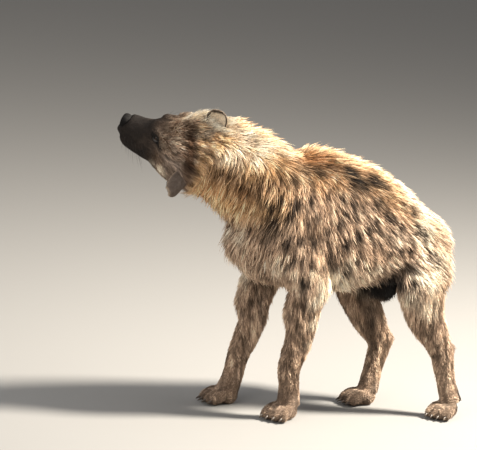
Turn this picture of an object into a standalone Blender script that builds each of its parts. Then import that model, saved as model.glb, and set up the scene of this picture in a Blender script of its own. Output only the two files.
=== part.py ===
"""A life-size spotted hyena that stands with its neck stretched out and its head turned and tilted.

Metres, +Z up. X runs from the head towards the tail, Y towards the animal's right. The body is
lofted whole, fused, and parted with thin cuts into its named pieces. Sizes are over the coat. Where
the coat is long, the body is drawn in to a core, and flat tapered locks that lie over it reach back
out to those sizes. At the end all is moved so that the origin lies on the floor under the middle of
the model.
"""

import math

import bmesh
import bpy
import numpy as np
from mathutils import Matrix, Vector
from mathutils.bvhtree import BVHTree

# Driving dimensions of the animal
WITHERS = 0.835
BELLY = 0.392
TRUNK_FRONT = -0.165
TRUNK_REAR = 0.582
TRUNK_HALF_WIDTH = 0.150
HEAD_SIZE = 1.11
EAR_LENGTH = 0.100
EAR_WIDTH = 0.076
EAR_THICKNESS = 0.0045
EYE_RADIUS = 0.0135
PAW_LENGTH = 0.105
PAW_WIDTH = 0.088
CLAW_LENGTH = 0.023
CLAW_RADIUS = 0.0042
TAIL_LENGTH = 0.25

# The head's pose: turned to the animal's right, nose raised, left ear lowered
HEAD_TURN = math.radians(43)
HEAD_RAISE = math.radians(20.8)
HEAD_TILT = math.radians(35.5)
NOSE_TIP = Vector((-0.457, 0.252, 0.889))

# The long coat: how deep it is over the core, and its locks
CREST_DEPTH = 0.022
FLANK_DEPTH = 0.012
FLANK_LOCK = dict(length=0.115, width=0.058, thickness=0.011, spacing=0.073)
CREST_LOCK = dict(length=0.085, width=0.034, thickness=0.009, spacing=0.046)
ROOT_SINK = 0.012
TAIL_LOCK = dict(length=0.095, width=0.036, thickness=0.007, tiers=3, around=4)
LOCK_SWING = math.radians(13)
SEED = 11

# Making
GAP = 0.0003
BODY_VOXEL = 0.0060
HEAD_VOXEL = 0.0030
BODY_TRIANGLES = 2800
HEAD_TRIANGLES = 2700
BODY_SMOOTHING = 10
HEAD_SMOOTHING = 28
RING_POINTS = 24
FAR = 1.5

COLOURS = {
    "coat": ((0.50, 0.36, 0.23), 0.90),
    "leg_coat": ((0.36, 0.27, 0.19), 0.90),
    "face": ((0.16, 0.11, 0.08), 0.85),
    "ear_skin": ((0.17, 0.13, 0.11), 0.80),
    "tail_hair": ((0.10, 0.07, 0.05), 0.85),
    "nose_skin": ((0.02, 0.018, 0.018), 0.45),
    "eye": ((0.02, 0.012, 0.008), 0.08),
    "claw": ((0.10, 0.08, 0.06), 0.45),
}


def clear_scene():
    for old in list(bpy.data.objects):
        bpy.data.objects.remove(old, do_unlink=True)


def finish(obj, colour):
    """The object's material, made once for each colour, and its shading."""
    made = bpy.data.materials.get(colour)
    if made is None:
        made = bpy.data.materials.new(colour)
        made.use_nodes = True
        shader = made.node_tree.nodes["Principled BSDF"]
        tint, roughness = COLOURS[colour]
        shader.inputs["Base Color"].default_value = (*tint, 1.0)
        shader.inputs["Roughness"].default_value = roughness
        shader.inputs["Metallic"].default_value = 0.0
    obj.data.materials.clear()
    obj.data.materials.append(made)
    obj.data.shade_smooth()
    obj.data.set_sharp_from_angle(angle=math.radians(50))


def linked(name, mesh):
    made = bpy.data.objects.new(name, mesh)
    bpy.context.scene.collection.objects.link(made)
    return made


def from_bmesh(name, work):
    """A new object from a bmesh, with its faces pointing out."""
    bmesh.ops.recalc_face_normals(work, faces=work.faces)
    if work.calc_volume(signed=True) < 0:
        bmesh.ops.reverse_faces(work, faces=work.faces)
    mesh = bpy.data.meshes.new(name)
    work.to_mesh(mesh)
    work.free()
    return linked(name, mesh)


def from_lists(name, points, faces):
    mesh = bpy.data.meshes.new(name)
    mesh.from_pydata([tuple(p) for p in points], [], [tuple(f) for f in faces])
    work = bmesh.new()
    work.from_mesh(mesh)
    bpy.data.meshes.remove(mesh)
    return from_bmesh(name, work)


def discard(*objects):
    for obj in objects:
        bpy.data.objects.remove(obj, do_unlink=True)


def apply_modifiers(obj):
    """The object's evaluated mesh takes the place of its own, and its modifiers go."""
    bpy.context.view_layer.update()
    graph = bpy.context.evaluated_depsgraph_get()
    made = bpy.data.meshes.new_from_object(obj.evaluated_get(graph))
    obj.modifiers.clear()
    old = obj.data
    obj.data = made
    bpy.data.meshes.remove(old)
    return obj


def copied(obj, name):
    return linked(name, obj.data.copy())


def combine(obj, other, operation, solver="EXACT"):
    """One Boolean with another object, applied. The other object stays."""
    step = obj.modifiers.new("combine", "BOOLEAN")
    step.operation = operation
    step.object = other
    step.solver = solver
    return apply_modifiers(obj)


def combine_locked(obj, other, operation):
    """A Boolean on a mesh that carries locks, where EXACT leaves gaps and MANIFOLD doesn't."""
    return combine(obj, other, operation, solver="MANIFOLD")


def largest_body(obj):
    """Only the largest closed surface of the mesh is kept."""
    work = bmesh.new()
    work.from_mesh(obj.data)
    seen, best = set(), []
    for start in work.verts:
        if start in seen:
            continue
        group, queue = [], [start]
        seen.add(start)
        while queue:
            vert = queue.pop()
            group.append(vert)
            for edge in vert.link_edges:
                other = edge.other_vert(vert)
                if other not in seen:
                    seen.add(other)
                    queue.append(other)
        if len(group) > len(best):
            best = group
    keep = set(best)
    bmesh.ops.delete(work, geom=[v for v in work.verts if v not in keep], context="VERTS")
    bmesh.ops.triangulate(work, faces=work.faces)
    work.to_mesh(obj.data)
    work.free()
    return obj


def smooth_rows(rows, steps):
    """Rows of numbers joined by a Catmull-Rom curve with that many points to each span."""
    rows = np.array(rows, float)
    ends = np.vstack([2 * rows[0] - rows[1], rows, 2 * rows[-1] - rows[-2]])
    t = np.linspace(0, 1, steps, endpoint=False)[:, None]
    spans = []
    for a, b, c, d in zip(ends, ends[1:], ends[2:], ends[3:]):
        cubic = (3 * b - a - 3 * c + d) * t**3
        spans.append(0.5 * (2 * b + (c - a) * t + (2 * a - 5 * b + 4 * c - d) * t**2 + cubic))
    return np.vstack([*spans, rows[-1:]])


def unit(v):
    return v / np.maximum(np.linalg.norm(v, axis=-1, keepdims=True), 1e-12)


def closed_tube(name, rings):
    """A closed mesh from rings of points, with a flat fan at each end."""
    count, around = rings.shape[:2]
    faces = []
    for i in range(count - 1):
        for j in range(around):
            k = (j + 1) % around
            faces.append((i * around + j, i * around + k, (i + 1) * around + k, (i + 1) * around + j))
    first = count * around
    points = np.vstack([rings.reshape(-1, 3), rings[0].mean(0), rings[-1].mean(0)])
    last_ring = (count - 1) * around
    for j in range(around):
        k = (j + 1) % around
        faces.append((first, k, j))
        faces.append((first + 1, last_ring + j, last_ring + k))
    return from_lists(name, points, faces)


def limb(name, stations, up=(0, 0, 1), steps=5, squareness=1.0, around=RING_POINTS, grow=0.0):
    """A loft along a bent path. Each station is x, y, z, half-width, height above, height below, where
    above and below are measured along up, squared to the path. Squareness 1 gives ellipses and less
    gives rounded boxes. grow is added to every radius."""
    rows = smooth_rows(stations, steps)
    centres = rows[:, :3]
    along = unit(np.gradient(centres, axis=0))
    upward = np.array(up, float)
    ups = unit(upward - along * (along @ upward)[:, None])
    sides = np.cross(along, ups)
    half, top, low = (np.maximum(rows[:, 3:], 0.0015) + grow).T
    angle = np.linspace(0, 2 * math.pi, around, endpoint=False)
    across = np.sign(np.cos(angle)) * np.abs(np.cos(angle)) ** squareness
    height = np.sign(np.sin(angle)) * np.abs(np.sin(angle)) ** squareness
    height = np.where(height > 0, top[:, None], low[:, None]) * height
    rings = centres[:, None] + sides[:, None] * (half[:, None] * across)[:, :, None]
    rings = rings + ups[:, None] * height[:, :, None]
    if grow:
        rings[0] -= along[0] * grow
        rings[-1] += along[-1] * grow
    return closed_tube(name, rings)


def ellipsoid(name, centre, radii, turn=None, segments=20):
    """A ball of three radii, turned by a 3x3 matrix if one is given."""
    work = bmesh.new()
    bmesh.ops.create_uvsphere(work, u_segments=segments, v_segments=segments * 3 // 5, radius=1.0)
    placed = Matrix.Translation(Vector(centre)) @ (turn.to_4x4() if turn else Matrix.Identity(4))
    bmesh.ops.transform(work, matrix=placed @ Matrix.Diagonal((*radii, 1.0)), verts=work.verts)
    return from_bmesh(name, work)


def beyond(name, point, normal):
    """A large box on the side of a plane that its normal points to."""
    normal = Vector(normal).normalized()
    work = bmesh.new()
    bmesh.ops.create_cube(work, size=2 * FAR)
    lift = Matrix.Translation(Vector((0, 0, FAR)))
    turn = normal.to_track_quat("Z", "Y").to_matrix().to_4x4()
    bmesh.ops.transform(work, matrix=Matrix.Translation(Vector(point)) @ turn @ lift, verts=work.verts)
    return from_bmesh(name, work)


def prism(name, section, x_range, grow):
    """A convex outline in Y and Z, run along X, with every face moved out by grow."""
    corners = [Vector((y, z)) for y, z in section]
    middle = sum(corners, Vector((0, 0))) / len(corners)
    lines = []
    for a, b in zip(corners, corners[1:] + corners[:1]):
        normal = Vector(((b - a).y, -(b - a).x)).normalized()
        if (a - middle).dot(normal) < 0:
            normal.negate()
        lines.append((normal, a.dot(normal) + grow))
    moved = []
    for (n1, d1), (n2, d2) in zip(lines[-1:] + lines[:-1], lines):
        cross = n1.x * n2.y - n1.y * n2.x
        moved.append(((d1 * n2.y - d2 * n1.y) / cross, (n1.x * d2 - n2.x * d1) / cross))
    low, high = x_range[0] - grow, x_range[1] + grow
    points = [(x, y, z) for x in (low, high) for y, z in moved]
    n = len(moved)
    faces = [tuple(range(n)), tuple(range(2 * n - 1, n - 1, -1))]
    faces += [(i, (i + 1) % n, n + (i + 1) % n, n + i) for i in range(n)]
    return from_lists(name, points, faces)


def joined(name, pieces):
    """One object holding all the pieces' faces. The pieces are removed."""
    work = bmesh.new()
    for piece in pieces:
        work.from_mesh(piece.data)
    discard(*pieces)
    mesh = bpy.data.meshes.new(name)
    work.to_mesh(mesh)
    work.free()
    return linked(name, mesh)


def fused(name, pieces, voxel, smoothing):
    """The pieces as one skin: a voxel remesh of them all, with its creases smoothed."""
    made = joined(name, pieces)
    remesh = made.modifiers.new("fuse", "REMESH")
    remesh.mode = "VOXEL"
    remesh.voxel_size = voxel
    smooth = made.modifiers.new("soften", "SMOOTH")
    smooth.factor = 0.5
    smooth.iterations = smoothing
    return apply_modifiers(made)


def thinned(obj, triangles):
    """The mesh with about that many triangles."""
    obj.data.calc_loop_triangles()
    decimate = obj.modifiers.new("thin", "DECIMATE")
    decimate.ratio = min(1.0, triangles / len(obj.data.loop_triangles))
    decimate.use_collapse_triangulate = True
    return apply_modifiers(obj)


def grown(obj, name, depth):
    """A copy whose points are moved out along their normals."""
    made = copied(obj, name)
    count = len(made.data.vertices)
    points, normals = np.empty(count * 3), np.empty(count * 3)
    made.data.vertices.foreach_get("co", points)
    made.data.vertices.foreach_get("normal", normals)
    made.data.vertices.foreach_set("co", points + normals * depth)
    made.data.update()
    return made


def trunk():
    """The barrel of the body from chest to buttocks. Each row is a place along X, the height of the
    widest part, the half-width there, and the heights of the back and of the belly."""
    wide = TRUNK_HALF_WIDTH
    stations = [
        (TRUNK_FRONT, 0.610, wide * 0.33, 0.680, 0.545),
        (-0.130, 0.600, wide * 0.66, 0.740, 0.480),
        (-0.060, 0.590, wide * 0.88, 0.800, 0.432),
        (0.030, 0.585, wide * 0.95, WITHERS, BELLY + 0.016),
        (0.130, 0.580, wide, WITHERS, BELLY + 0.002),
        (0.230, 0.580, wide, 0.806, BELLY),
        (0.330, 0.572, wide * 0.93, 0.758, BELLY + 0.018),
        (0.420, 0.556, wide * 0.87, 0.698, 0.412),
        (0.495, 0.540, wide * 0.82, 0.642, 0.420),
        (0.550, 0.518, wide * 0.62, 0.590, 0.432),
        (TRUNK_REAR, 0.500, wide * 0.30, 0.540, 0.460),
    ]
    rows = [(x, 0.0, z, half, top - z, z - low) for x, z, half, top, low in stations]
    return limb("trunk", rows, squareness=0.92)


NECK = [
    (0.060, 0.000, 0.665, 0.105, 0.150, 0.150),
    (-0.050, 0.000, 0.700, 0.114, 0.142, 0.148),
    (-0.125, 0.004, 0.738, 0.112, 0.146, 0.138),
    (-0.190, 0.020, 0.774, 0.106, 0.142, 0.124),
    (-0.245, 0.052, 0.802, 0.097, 0.120, 0.108),
    (-0.285, 0.092, 0.822, 0.082, 0.086, 0.088),
]


def front_leg(side, elbow, wrist, foot, splay):
    """Shoulder, upper arm, forearm and pastern. side is -1 for the left leg and 1 for the right."""
    name = "front_left" if side < 0 else "front_right"
    shoulder = [
        (0.055, side * 0.060, 0.760, 0.030, 0.050, 0.050),
        (0.010, side * 0.094, 0.690, 0.045, 0.082, 0.080),
        (-0.040, side * 0.108, 0.600, 0.050, 0.080, 0.086),
        (-0.015, side * 0.112, 0.520, 0.050, 0.080, 0.086),
        (elbow[0], elbow[1], elbow[2] + 0.02, 0.046, 0.072, 0.070),
    ]
    middle = [(a + b) / 2 for a, b in zip(elbow, wrist)]
    pastern = ((wrist[0] + foot[0]) / 2 + 0.008, (wrist[1] + foot[1]) / 2, wrist[2] / 2 + 0.02)
    lower = [
        (elbow[0] - 0.010, elbow[1], elbow[2] + 0.07, 0.044, 0.068, 0.068),
        (*elbow, 0.045, 0.066, 0.068),
        (middle[0] + 0.004, middle[1], middle[2] + 0.045, 0.041, 0.054, 0.058),
        (middle[0] + 0.003, middle[1], middle[2] - 0.035, 0.035, 0.043, 0.046),
        (*wrist, 0.034, 0.039, 0.040),
        (*pastern, 0.033, 0.035, 0.038),
        (foot[0] + 0.014, foot[1], 0.045, 0.038, 0.036, 0.040),
    ]
    return [
        limb(name + "_shoulder", shoulder, up=(-1, 0, 0)),
        limb(name + "_lower", lower, up=(-1, 0, 0)),
        *paw(name, foot, splay, PAW_WIDTH, PAW_LENGTH),
    ]


def hind_leg(side, hip, knee, hock, foot, splay):
    """Thigh, shank and the long back foot, with the point of the hock."""
    name = "hind_left" if side < 0 else "hind_right"

    def shank(share):
        return [a * (1 - share) + b * share for a, b in zip(knee, hock)]

    middle = [(a + b) / 2 for a, b in zip(hip, knee)]
    cannon = [(a + b) / 2 for a, b in zip(hock, foot)]
    thigh = [
        (hip[0], hip[1] * 0.7, hip[2] + 0.03, 0.050, 0.088, 0.085),
        (hip[0], hip[1], hip[2] - 0.03, 0.060, 0.100, 0.096),
        (middle[0] + 0.010, middle[1], middle[2] - 0.010, 0.062, 0.092, 0.104),
        (knee[0] + 0.022, knee[1], knee[2] + 0.01, 0.055, 0.070, 0.084),
        (*shank(0.4), 0.046, 0.054, 0.064),
        (*shank(0.8), 0.036, 0.041, 0.048),
        (*hock, 0.032, 0.037, 0.040),
    ]
    lower = [
        (hock[0] * 0.85 + knee[0] * 0.15, hock[1], hock[2] + 0.035, 0.030, 0.036, 0.036),
        (*hock, 0.032, 0.037, 0.042),
        (cannon[0] + 0.008, cannon[1], cannon[2], 0.031, 0.033, 0.036),
        (foot[0] + 0.020, foot[1], 0.045, 0.035, 0.034, 0.038),
    ]
    point_of_hock = (hock[0] + 0.026, hock[1], hock[2] + 0.012)
    return [
        limb(name + "_thigh", thigh, up=(-1, 0, 0)),
        limb(name + "_lower", lower, up=(-1, 0, 0)),
        ellipsoid(name + "_hock", point_of_hock, (0.022, 0.020, 0.026)),
        *paw(name, foot, splay, PAW_WIDTH * 0.90, PAW_LENGTH * 0.96),
    ]


def foot_frame(foot, splay):
    """A function from a place on the foot, forward being -X, to the world, and the foot's turn."""
    turn = Matrix.Rotation(math.radians(splay), 3, "Z")
    origin = Vector((foot[0], foot[1], 0.0))
    return (lambda x, y, z: origin + turn @ Vector((x, y, z))), turn


def toe_path(place, toe, width, length):
    """The toe's five stations, fanned out from the palm and bent at the knuckle."""
    across = (toe - 1.5) / 1.5
    reach = length * (1.0 - 0.10 * across * across) / PAW_LENGTH
    y = across * width * 0.36
    return [
        (*place(0.010, y * 0.75, 0.040), 0.015, 0.014, 0.026),
        (*place(-0.020 * reach, y * 0.95, 0.038), 0.0155, 0.016, 0.028),
        (*place(-0.045 * reach, y * 1.08, 0.028), 0.0155, 0.015, 0.028),
        (*place(-0.062 * reach, y * 1.14, 0.018), 0.0130, 0.011, 0.020),
        (*place(-0.070 * reach, y * 1.15, 0.014), 0.0080, 0.006, 0.010),
    ]


def paw(name, foot, splay, width, length):
    """A foot on four toes. The palm and the toes reach a little under the floor, to be cut flat."""
    place, turn = foot_frame(foot, splay)
    pieces = [ellipsoid(name + "_palm", place(0.014, 0, 0.028), (length * 0.36, width * 0.43, 0.034), turn)]
    for toe in range(4):
        pieces.append(limb(f"{name}_toe{toe}", toe_path(place, toe, width, length), steps=3))
    return pieces


FRONT_LEGS = {
    "front_left": dict(
        side=-1, elbow=(0.046, -0.110, 0.440), wrist=(0.006, -0.104, 0.165),
        foot=(0.000, -0.100), splay=26,
    ),
    "front_right": dict(
        side=1, elbow=(0.012, 0.114, 0.440), wrist=(-0.046, 0.128, 0.155),
        foot=(-0.088, 0.130), splay=0,
    ),
}
HIND_LEGS = {
    "hind_left": dict(
        side=-1, hip=(0.470, -0.075, 0.565), knee=(0.430, -0.112, 0.395), hock=(0.540, -0.135, 0.205),
        foot=(0.556, -0.165, 0.03), splay=30,
    ),
    "hind_right": dict(
        side=1, hip=(0.455, 0.075, 0.565), knee=(0.325, 0.090, 0.375), hock=(0.430, 0.060, 0.200),
        foot=(0.370, 0.045, 0.03), splay=-2,
    ),
}
LEGS = {**FRONT_LEGS, **HIND_LEGS}

# Where each leg leaves the trunk: the inner edge of the cut and its top, in Y and Z, and the foot of
# the slanted wall that closes the cut towards the flank, in X and Z, with the wall's normal
LEG_CUTS = {
    "front_left": dict(inner=(0.050, 0.425), top=(0.150, 0.605), wall=(0.140, 0.400), facing=(-1.0, -0.40)),
    "front_right": dict(inner=(0.050, 0.425), top=(0.150, 0.605), wall=(0.120, 0.400), facing=(-1.0, -0.40)),
    "hind_left": dict(inner=(0.022, 0.450), top=(0.128, 0.610), wall=(0.335, 0.400), facing=(1.0, -0.30)),
    "hind_right": dict(inner=(0.022, 0.450), top=(0.128, 0.610), wall=(0.245, 0.360), facing=(1.0, -0.62)),
}
LEG_REACH = (-0.30, 0.66)
KNEES = 0.350
ANKLES = 0.085
QUADRANTS = {
    "front_left": (-0.5, 0.25), "front_right": (-0.5, 0.15),
    "hind_left": (0.25, 0.9), "hind_right": (0.15, 0.9),
}


def head_axes():
    """The head's forward, left and up directions."""
    turn = Matrix.Rotation(-HEAD_TURN, 3, "Z")
    forward = turn @ Vector((-math.cos(HEAD_RAISE), 0, math.sin(HEAD_RAISE)))
    up = turn @ Vector((math.sin(HEAD_RAISE), 0, math.cos(HEAD_RAISE)))
    roll = Matrix.Rotation(-HEAD_TILT, 3, forward)
    return forward, roll @ up.cross(forward), roll @ up


FORWARD, LEFT, UP = head_axes()
HEAD_TURN_MATRIX = Matrix((FORWARD, LEFT, UP)).transposed()


def on_head(back, left, up):
    """A place on the head, from how far it lies behind the nose tip, to the left and up."""
    return NOSE_TIP + (LEFT * left + UP * up - FORWARD * back) * HEAD_SIZE


def head_limb(name, rows, **options):
    """A loft on the head, from rows of back, left, up, half-width, above and below."""
    rows = [(*on_head(*row[:3]), *(r * HEAD_SIZE for r in row[3:])) for row in rows]
    return limb(name, rows, up=tuple(UP), **options)


def head_ball(name, place, radii):
    """An ellipsoid on the head, its radii along forward, left and up."""
    return ellipsoid(name, on_head(*place), [r * HEAD_SIZE for r in radii], HEAD_TURN_MATRIX)


def head_forms():
    """Muzzle and skull, the lower jaw, cheeks, brows and lips, over the short coat of the face."""
    muzzle = [
        (0.004, 0, -0.010, 0.022, 0.022, 0.024),
        (0.012, 0, -0.014, 0.031, 0.031, 0.038),
        (0.032, 0, -0.016, 0.037, 0.036, 0.046),
        (0.062, 0, -0.016, 0.040, 0.043, 0.048),
        (0.092, 0, -0.012, 0.044, 0.052, 0.050),
        (0.120, 0, -0.004, 0.053, 0.062, 0.056),
        (0.148, 0, 0.000, 0.065, 0.072, 0.064),
        (0.183, 0, 0.002, 0.077, 0.082, 0.070),
        (0.223, 0, 0.004, 0.085, 0.090, 0.076),
        (0.263, 0, 0.004, 0.086, 0.092, 0.080),
        (0.305, 0, 0.002, 0.082, 0.088, 0.080),
        (0.345, 0, -0.004, 0.070, 0.074, 0.070),
    ]
    jaw = [
        (0.020, 0, -0.058, 0.019, 0.016, 0.012),
        (0.048, 0, -0.063, 0.026, 0.024, 0.017),
        (0.088, 0, -0.064, 0.032, 0.030, 0.020),
        (0.138, 0, -0.062, 0.044, 0.040, 0.024),
        (0.190, 0, -0.056, 0.056, 0.050, 0.030),
        (0.250, 0, -0.046, 0.066, 0.056, 0.038),
    ]
    pieces = [
        head_limb("muzzle", muzzle, squareness=0.86),
        head_limb("jaw", jaw, squareness=0.90),
        head_ball("crown", (0.205, 0, 0.048), (0.070, 0.052, 0.056)),
    ]
    for side in (-1, 1):
        cheek = [
            (0.120, side * 0.042, -0.034, 0.018, 0.024, 0.024),
            (0.160, side * 0.054, -0.028, 0.029, 0.042, 0.034),
            (0.200, side * 0.064, -0.016, 0.033, 0.050, 0.040),
            (0.250, side * 0.066, -0.006, 0.032, 0.050, 0.042),
        ]
        lip = [
            (0.014, side * 0.018, -0.046, 0.010, 0.012, 0.009),
            (0.034, side * 0.031, -0.051, 0.012, 0.016, 0.010),
            (0.070, side * 0.036, -0.054, 0.012, 0.018, 0.010),
            (0.110, side * 0.042, -0.051, 0.012, 0.018, 0.010),
            (0.134, side * 0.050, -0.045, 0.008, 0.012, 0.009),
        ]
        pieces += [
            head_limb(f"cheek{side}", cheek),
            head_limb(f"lip{side}", lip),
            head_ball(f"brow{side}", (0.132, side * 0.032, 0.046), (0.036, 0.020, 0.020)),
            head_ball(f"temple{side}", (0.188, side * 0.046, 0.034), (0.064, 0.040, 0.046)),
            head_ball(f"ear_root{side}", (0.234, side * 0.070, 0.016), (0.042, 0.026, 0.046)),
        ]
    return pieces


def neck_and_chest():
    return limb("neck", NECK)


def eye_place(side):
    return on_head(0.122, side * 0.0375, 0.0360)


def eye_ball(name, side, extra=0.0):
    radius = EYE_RADIUS + extra
    return ellipsoid(name, eye_place(side), (radius, radius, radius), HEAD_TURN_MATRIX, segments=14)


def nose_form(name, grow=0.0):
    """The bare nose pad over the front of the muzzle, wider above than below."""
    rows = [
        (0.026, 0, -0.006, 0.016, 0.020, 0.014),
        (0.014, 0, -0.008, 0.022, 0.024, 0.020),
        (0.004, 0, -0.010, 0.022, 0.022, 0.019),
        (0.000, 0, -0.011, 0.014, 0.015, 0.012),
    ]
    return head_limb(name, rows, squareness=0.80, around=12, steps=2, grow=grow)


def nostril(side):
    """A bent hollow that runs in from the side of the nose pad."""
    rows = [
        (-0.006, side * 0.013, -0.012, 0.0060, 0.0062, 0.0062),
        (0.004, side * 0.0125, -0.011, 0.0056, 0.0058, 0.0058),
        (0.014, side * 0.0100, -0.008, 0.0034, 0.0036, 0.0036),
    ]
    return head_limb(f"nostril{side}", rows, around=10, steps=3)


def mouth_slot():
    """A thin plate shaped as the gap between the lips, from one corner of the mouth round the front."""
    line = [(0.136, 0.068, -0.049), (0.105, 0.058, -0.062), (0.070, 0.051, -0.066), (0.036, 0.044, -0.064)]
    line += [(0.010, 0.030, -0.058), (0.000, 0.000, -0.054)]
    line += [(back, -left, up) for back, left, up in reversed(line[:-1])]
    outer = smooth_rows(line, 3)
    inner = outer * np.array([1.0, 0.62, 1.0]) + np.array([0.012, 0.0, 0.0])
    half = 0.0016
    points, faces = [], []
    for a, b in zip(outer, inner):
        for back, left, up in (a, b):
            points += [on_head(back, left, up + half), on_head(back, left, up - half)]
    n = len(outer)
    for i in range(n - 1):
        o, p = 4 * i, 4 * (i + 1)
        faces += [(o, p, p + 1, o + 1), (o + 2, o + 3, p + 3, p + 2)]
        faces += [(o, o + 2, p + 2, p), (o + 1, p + 1, p + 3, o + 3)]
    faces += [(0, 1, 3, 2), (4 * n - 4, 4 * n - 2, 4 * n - 1, 4 * n - 3)]
    return from_lists("mouth_slot", points, faces)


def eyelid(side, upper):
    """A lid: part of a shell round the eye, thickest at its free edge, from corner to corner."""
    centre = eye_place(side)
    outward = (LEFT * side * 0.80 + FORWARD * 0.42 + UP * 0.42).normalized()
    corner = (FORWARD * 0.86 - LEFT * side * 0.30 - UP * 0.16)
    corner = (corner - outward * corner.dot(outward)).normalized()
    rise = outward.cross(corner) * (1 if outward.cross(corner).dot(UP) > 0 else -1)
    rise = rise if upper else -rise
    edge, root = (math.radians(34), math.radians(84)) if upper else (math.radians(40), math.radians(84))
    inner, outer = EYE_RADIUS + 0.0006, EYE_RADIUS + 0.0038
    across, rows = 9, 4
    points = []
    for layer in (inner, outer):
        for j in range(rows):
            open_angle = edge + (root - edge) * j / (rows - 1)
            for i in range(across):
                swing = math.radians(-86 + 172 * i / (across - 1))
                lift = open_angle * math.cos(swing) + (1 - math.cos(swing)) * math.radians(8)
                way = outward * math.cos(lift) + rise * math.sin(lift)
                way = way * math.cos(swing) + corner * math.sin(swing)
                points.append(centre + way.normalized() * layer)
    faces = []
    size = across * rows
    for j in range(rows - 1):
        for i in range(across - 1):
            a, b, c, d = (j * across + i, j * across + i + 1, (j + 1) * across + i + 1, (j + 1) * across + i)
            faces += [(a, b, c, d), (a + size, d + size, c + size, b + size)]
    rim = [i for i in range(across)] + [j * across + across - 1 for j in range(1, rows)]
    rim += [(rows - 1) * across + i for i in range(across - 2, -1, -1)]
    rim += [j * across for j in range(rows - 2, 0, -1)]
    faces += [(a, a + size, b + size, b) for a, b in zip(rim, rim[1:] + rim[:1])]
    return from_lists(f"lid{side}{upper}", points, faces)


def ear_axes(side):
    """Where an ear is rooted, the way it points and the way its cup faces: the left one hangs out
    sideways and the right one stands up behind the crown."""
    if side > 0:
        base = on_head(0.243, 0.086, 0.002)
        along = LEFT * 0.93 - UP * 0.05 + FORWARD * 0.20
        opening = FORWARD * 0.72 - UP * 0.42 + LEFT * 0.15
    else:
        base = on_head(0.266, -0.018, 0.080)
        along = UP * 0.84 - LEFT * 0.45 + FORWARD * 0.30
        opening = FORWARD * 0.25 + LEFT * 0.45 + UP * 0.55
    along.normalize()
    return base, along, (opening - along * opening.dot(along)).normalized()


def ear(name, side):
    """A cupped ear: a sheet whose cross-section is an arc, tightest at the base, with a round tip.
    v runs from base to tip and u across, and the sheet is given its thickness at the end."""
    base, along, opening = ear_axes(side)
    across = along.cross(opening) * side
    rows, columns = 8, 7
    sheets = []
    for thick in (0.0, 1.0):
        points = []
        for j in range(rows):
            v = j / (rows - 1)
            taper = math.sqrt(max(1 - max(0, (v - 0.58) / 0.46) ** 2.4, 0.05))
            half = EAR_WIDTH / 2 * (0.74 + 0.55 * v - 0.28 * v * v) * taper
            bend = math.radians(104 - 66 * v)
            radius = half / math.sin(min(bend, math.radians(90)))
            for i in range(columns):
                swing = bend * (2 * i / (columns - 1) - 1)
                radial = across * math.sin(swing) - opening * math.cos(swing)
                middle = base + along * (EAR_LENGTH * (v * 1.12 - 0.20))
                middle = middle + opening * (radius * 0.55 + 0.010 * v * v)
                shell = radius - thick * EAR_THICKNESS * (1.25 - 0.55 * v)
                points.append(middle + radial * shell)
        sheets += points
    faces = []
    size = rows * columns
    for j in range(rows - 1):
        for i in range(columns - 1):
            a, b = j * columns + i, j * columns + i + 1
            c, d = b + columns, a + columns
            faces += [(a, b, c, d), (a + size, d + size, c + size, b + size)]
    rim = [i for i in range(columns)] + [j * columns + columns - 1 for j in range(1, rows)]
    rim += [(rows - 1) * columns + i for i in range(columns - 2, -1, -1)]
    rim += [j * columns for j in range(rows - 2, 0, -1)]
    faces += [(a, a + size, b + size, b) for a, b in zip(rim, rim[1:] + rim[:1])]
    return from_lists(name, sheets, faces)


def claw(name, toe_end, forward, grow=0.0):
    """A blunt curved claw, its root sunk in the toe and its tip clear of the floor."""
    length = CLAW_LENGTH
    side_up = Vector((0, 0, 1))
    rows = []
    shape = ((0.0, 0.000, 0.9), (0.35, 0.0005, 1.0), (0.70, 0.003, 0.75), (1.0, 0.0075, 0.22))
    for share, drop, radius in shape:
        centre = toe_end + forward * (length * (share - 0.45)) - side_up * drop
        rows.append((*centre, CLAW_RADIUS * radius * 0.8, CLAW_RADIUS * radius, CLAW_RADIUS * radius))
    return limb(name, rows, around=6, steps=1, grow=grow)


TAIL_LIFT = 0.012

# The top of the neck and back along X, for telling how near a place is to the crest
SPINE_X = (-0.285, -0.245, -0.190, -0.125, -0.050, 0.030, 0.130, 0.230, 0.330, 0.420, 0.550)
SPINE_TOP = (0.900, 0.900, 0.890, 0.866, 0.840, 0.835, 0.835, 0.806, 0.758, 0.698, 0.590)

TAIL = [
    (TRUNK_REAR - 0.055, 0.000, 0.560, 0.026, 0.026, 0.026),
    (TRUNK_REAR - 0.010, 0.000, 0.545, 0.026, 0.026, 0.026),
    (TRUNK_REAR + 0.014, -0.001, 0.505, 0.024, 0.024, 0.024),
    (TRUNK_REAR + 0.018, -0.002, 0.450, 0.020, 0.020, 0.020),
    (TRUNK_REAR + 0.016, -0.003, 0.390, 0.018, 0.018, 0.018),
    (TRUNK_REAR + 0.013, -0.003, 0.345, 0.013, 0.013, 0.013),
    (TRUNK_REAR + 0.011, -0.003, 0.585 - TAIL_LENGTH, 0.007, 0.007, 0.007),
]


def tail(name, grow=0.0):
    return limb(name, TAIL, up=(1, 0, 0), steps=2, around=14, grow=grow)


def ease(value, low, high):
    """0 below low, 1 above high and a smooth step between."""
    t = np.clip((value - low) / (high - low), 0, 1)
    return t * t * (3 - 2 * t)


def crest_share(points):
    """1 along the top of the neck and the withers, fading down the sides and towards the rump."""
    top = np.interp(points[:, 0], SPINE_X, SPINE_TOP)
    near_top = ease(points[:, 2], top - 0.085, top - 0.025)
    return near_top * (1 - ease(points[:, 0], 0.16, 0.34))


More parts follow.
